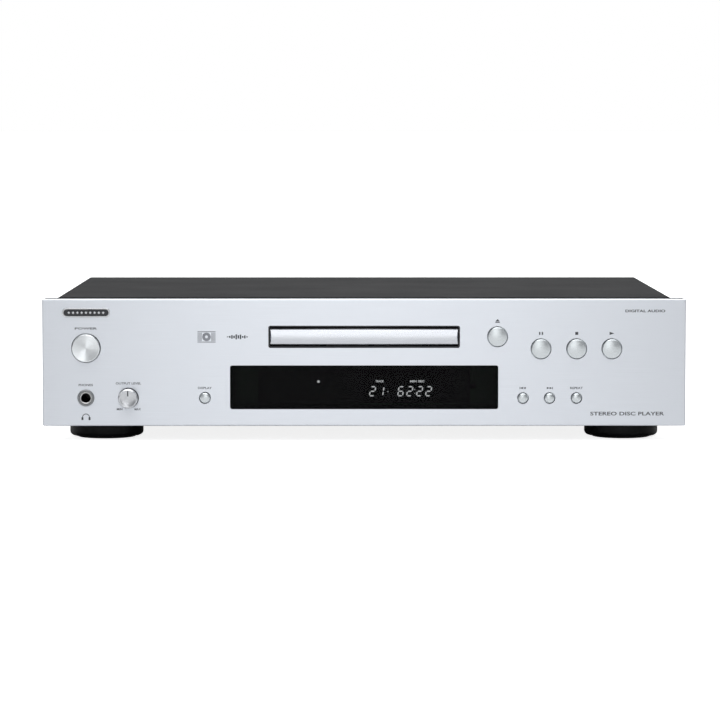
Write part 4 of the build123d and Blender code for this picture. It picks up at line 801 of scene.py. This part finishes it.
# ---------------------------------------------------------------- display
SEGMENTS = {
    "0": "abcdef", "1": "bc", "2": "abged", "3": "abgcd", "4": "fgbc",
    "5": "afgcd", "6": "afgedc", "7": "abc", "8": "abcdefg", "9": "abcdfg",
}


def digit(marks, figure, left, low, width, height):
    """A slanted seven-segment figure."""
    stroke, gap = 0.85, 0.08
    lean = math.tan(math.radians(9))
    half = height / 2
    w = width
    lines = {
        "a": ((0, height), (w, height)), "g": ((0, half), (w, half)), "d": ((0, 0), (w, 0)),
        "f": ((0, height), (0, half)), "b": ((w, height), (w, half)),
        "e": ((0, half), (0, 0)), "c": ((w, half), (w, 0)),
    }
    for name in SEGMENTS[figure]:
        start, end = (Vector(p) for p in lines[name])
        along = (end - start).normalized()
        side = Vector((-along.y, along.x)) * stroke / 2
        start, end = start + along * (gap + stroke / 4), end - along * (gap + stroke / 4)
        tip = along * stroke / 2
        outline = [start - side + tip, end - side - tip, end, end + side - tip, start + side + tip, start]
        marks.prism([(left + p.x + p.y * lean, low + p.y) for p in outline])


def display():
    """Lit figures and captions on the front of the display tube."""
    tube_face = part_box("display_tube")[0].y
    marks = Marks(tube_face)
    low, width, height = 30.1, 3.3, 6.2
    for figure, left in zip("216222", (3.6, 9.3, 22.8, 28.9, 35.6, 41.7)):
        digit(marks, figure, left, low, width, height)
    marks.disc(16.2, 32.9, 0.35)
    for up in (31.8, 34.4):
        marks.disc(34.4, up, 0.3)
    marks.disc(-31.0, 39.8, 0.9)
    marks.words("TRACK", 10.6, 40.0, 5.8, 1.5, 0.04)
    marks.words("MIN", 33.4, 40.0, 4.4, 1.5, 0.04)
    marks.words("SEC", 38.8, 40.0, 4.4, 1.5, 0.04)
    return marks.piece("display_figures", LIT, "case")


display()


# ---------------------------------------------------------------- studio
def area_light(name, place, target, size, radiance):
    """A soft box of a size, as bright to look at as its radiance."""
    light = bpy.data.lights.new(name, "AREA")
    light.shape = "RECTANGLE"
    light.size, light.size_y = size
    light.energy = radiance * math.pi * size[0] * size[1]
    holder = bpy.data.objects.new(name, light)
    holder.location = place
    holder.rotation_euler = (Vector(target) - Vector(place)).to_track_quat("-Z", "Y").to_euler()
    holder.visible_camera = False
    bpy.context.scene.collection.objects.link(holder)


def overhead_light(strength):
    """A wide soft light from above that reaches the whole floor evenly."""
    light = bpy.data.lights.new("overhead_light", "SUN")
    light.energy = strength
    light.angle = math.radians(70)
    holder = bpy.data.objects.new("overhead_light", light)
    holder.rotation_euler = (math.radians(15), 0.0, 0.0)
    bpy.context.scene.collection.objects.link(holder)


def floor():
    """A wide plain pale floor, whiter to look at than what the object mirrors."""
    mesh = bmesh.new()
    bmesh.ops.create_grid(mesh, x_segments=2, y_segments=2, size=40.0)
    data = bpy.data.meshes.new("floor")
    mesh.to_mesh(data)
    mesh.free()
    look = Surface("floor_look", (0.8, 0.8, 0.8), 0.9, Emission_Color=(1, 1, 1, 1))
    seen = look.nodes.new("ShaderNodeLightPath").outputs["Is Camera Ray"]
    look.links.new(look.ranged(seen, 0, 1, 0.0, FLOOR_GLOW), look.shader.inputs["Emission Strength"])
    data.materials.append(look.material)
    ground = bpy.data.objects.new("floor", data)
    bpy.context.scene.collection.objects.link(ground)


def studio_world():
    """White behind the object, and a softer grey for everything that it lights or mirrors."""
    world = bpy.data.worlds.new("studio")
    world.use_nodes = True
    nodes, links = world.node_tree.nodes, world.node_tree.links
    seen = nodes["Background"]
    seen.inputs["Color"].default_value = (1, 1, 1, 1)
    seen.inputs["Strength"].default_value = 1.0
    around = nodes.new("ShaderNodeBackground")
    around.inputs["Color"].default_value = (0.94, 0.97, 1.0, 1)
    around.inputs["Strength"].default_value = 0.20
    path = nodes.new("ShaderNodeLightPath")
    mix = nodes.new("ShaderNodeMixShader")
    links.new(path.outputs["Is Camera Ray"], mix.inputs["Fac"])
    links.new(around.outputs["Background"], mix.inputs[1])
    links.new(seen.outputs["Background"], mix.inputs[2])
    links.new(mix.outputs["Shader"], nodes["World Output"].inputs["Surface"])
    bpy.context.scene.world = world


FACE_MIDDLE_Y = -0.15
LOW_TARGET = (0.0, 0.0, 0.05)        # what the side and back lights point at
floor()
studio_world()
area_light("front_light", (0.0, -3.2, 0.45), (0.0, FACE_MIDDLE_Y, 0.45), (0.75, 0.9), 1.65)
area_light("upper_light", (0.0, -3.0, 1.75), (0.0, FACE_MIDDLE_Y, 0.1), (0.9, 1.6), 1.35)
area_light("left_light", (-1.5, 0.1, 0.9), LOW_TARGET, (1.0, 1.0), 1.2)
area_light("right_light", (1.5, 0.1, 0.9), LOW_TARGET, (1.0, 1.0), 1.2)
area_light("back_light", (0.0, 1.8, 1.0), LOW_TARGET, (1.2, 0.8), 1.0)
overhead_light(2.3)


# ---------------------------------------------------------------- camera
def camera():
    """Looks slightly down at the front from 2.4 m, through a long lens."""
    data = bpy.data.cameras.new("camera")
    data.sensor_width = 36.0
    data.lens = 164.1
    data.clip_start, data.clip_end = 0.1, 200.0
    holder = bpy.data.objects.new("camera", data)
    holder.location = (-0.010, -2.362, 0.2200)
    pitch, yaw = math.radians(4.26), math.radians(0.186)
    holder.rotation_euler = (math.pi / 2 - pitch, 0.0, -yaw)
    bpy.context.scene.collection.objects.link(holder)
    bpy.context.scene.camera = holder


camera()
bpy.context.scene.view_settings.view_transform = "Standard"

bpy.context.view_layer.update()
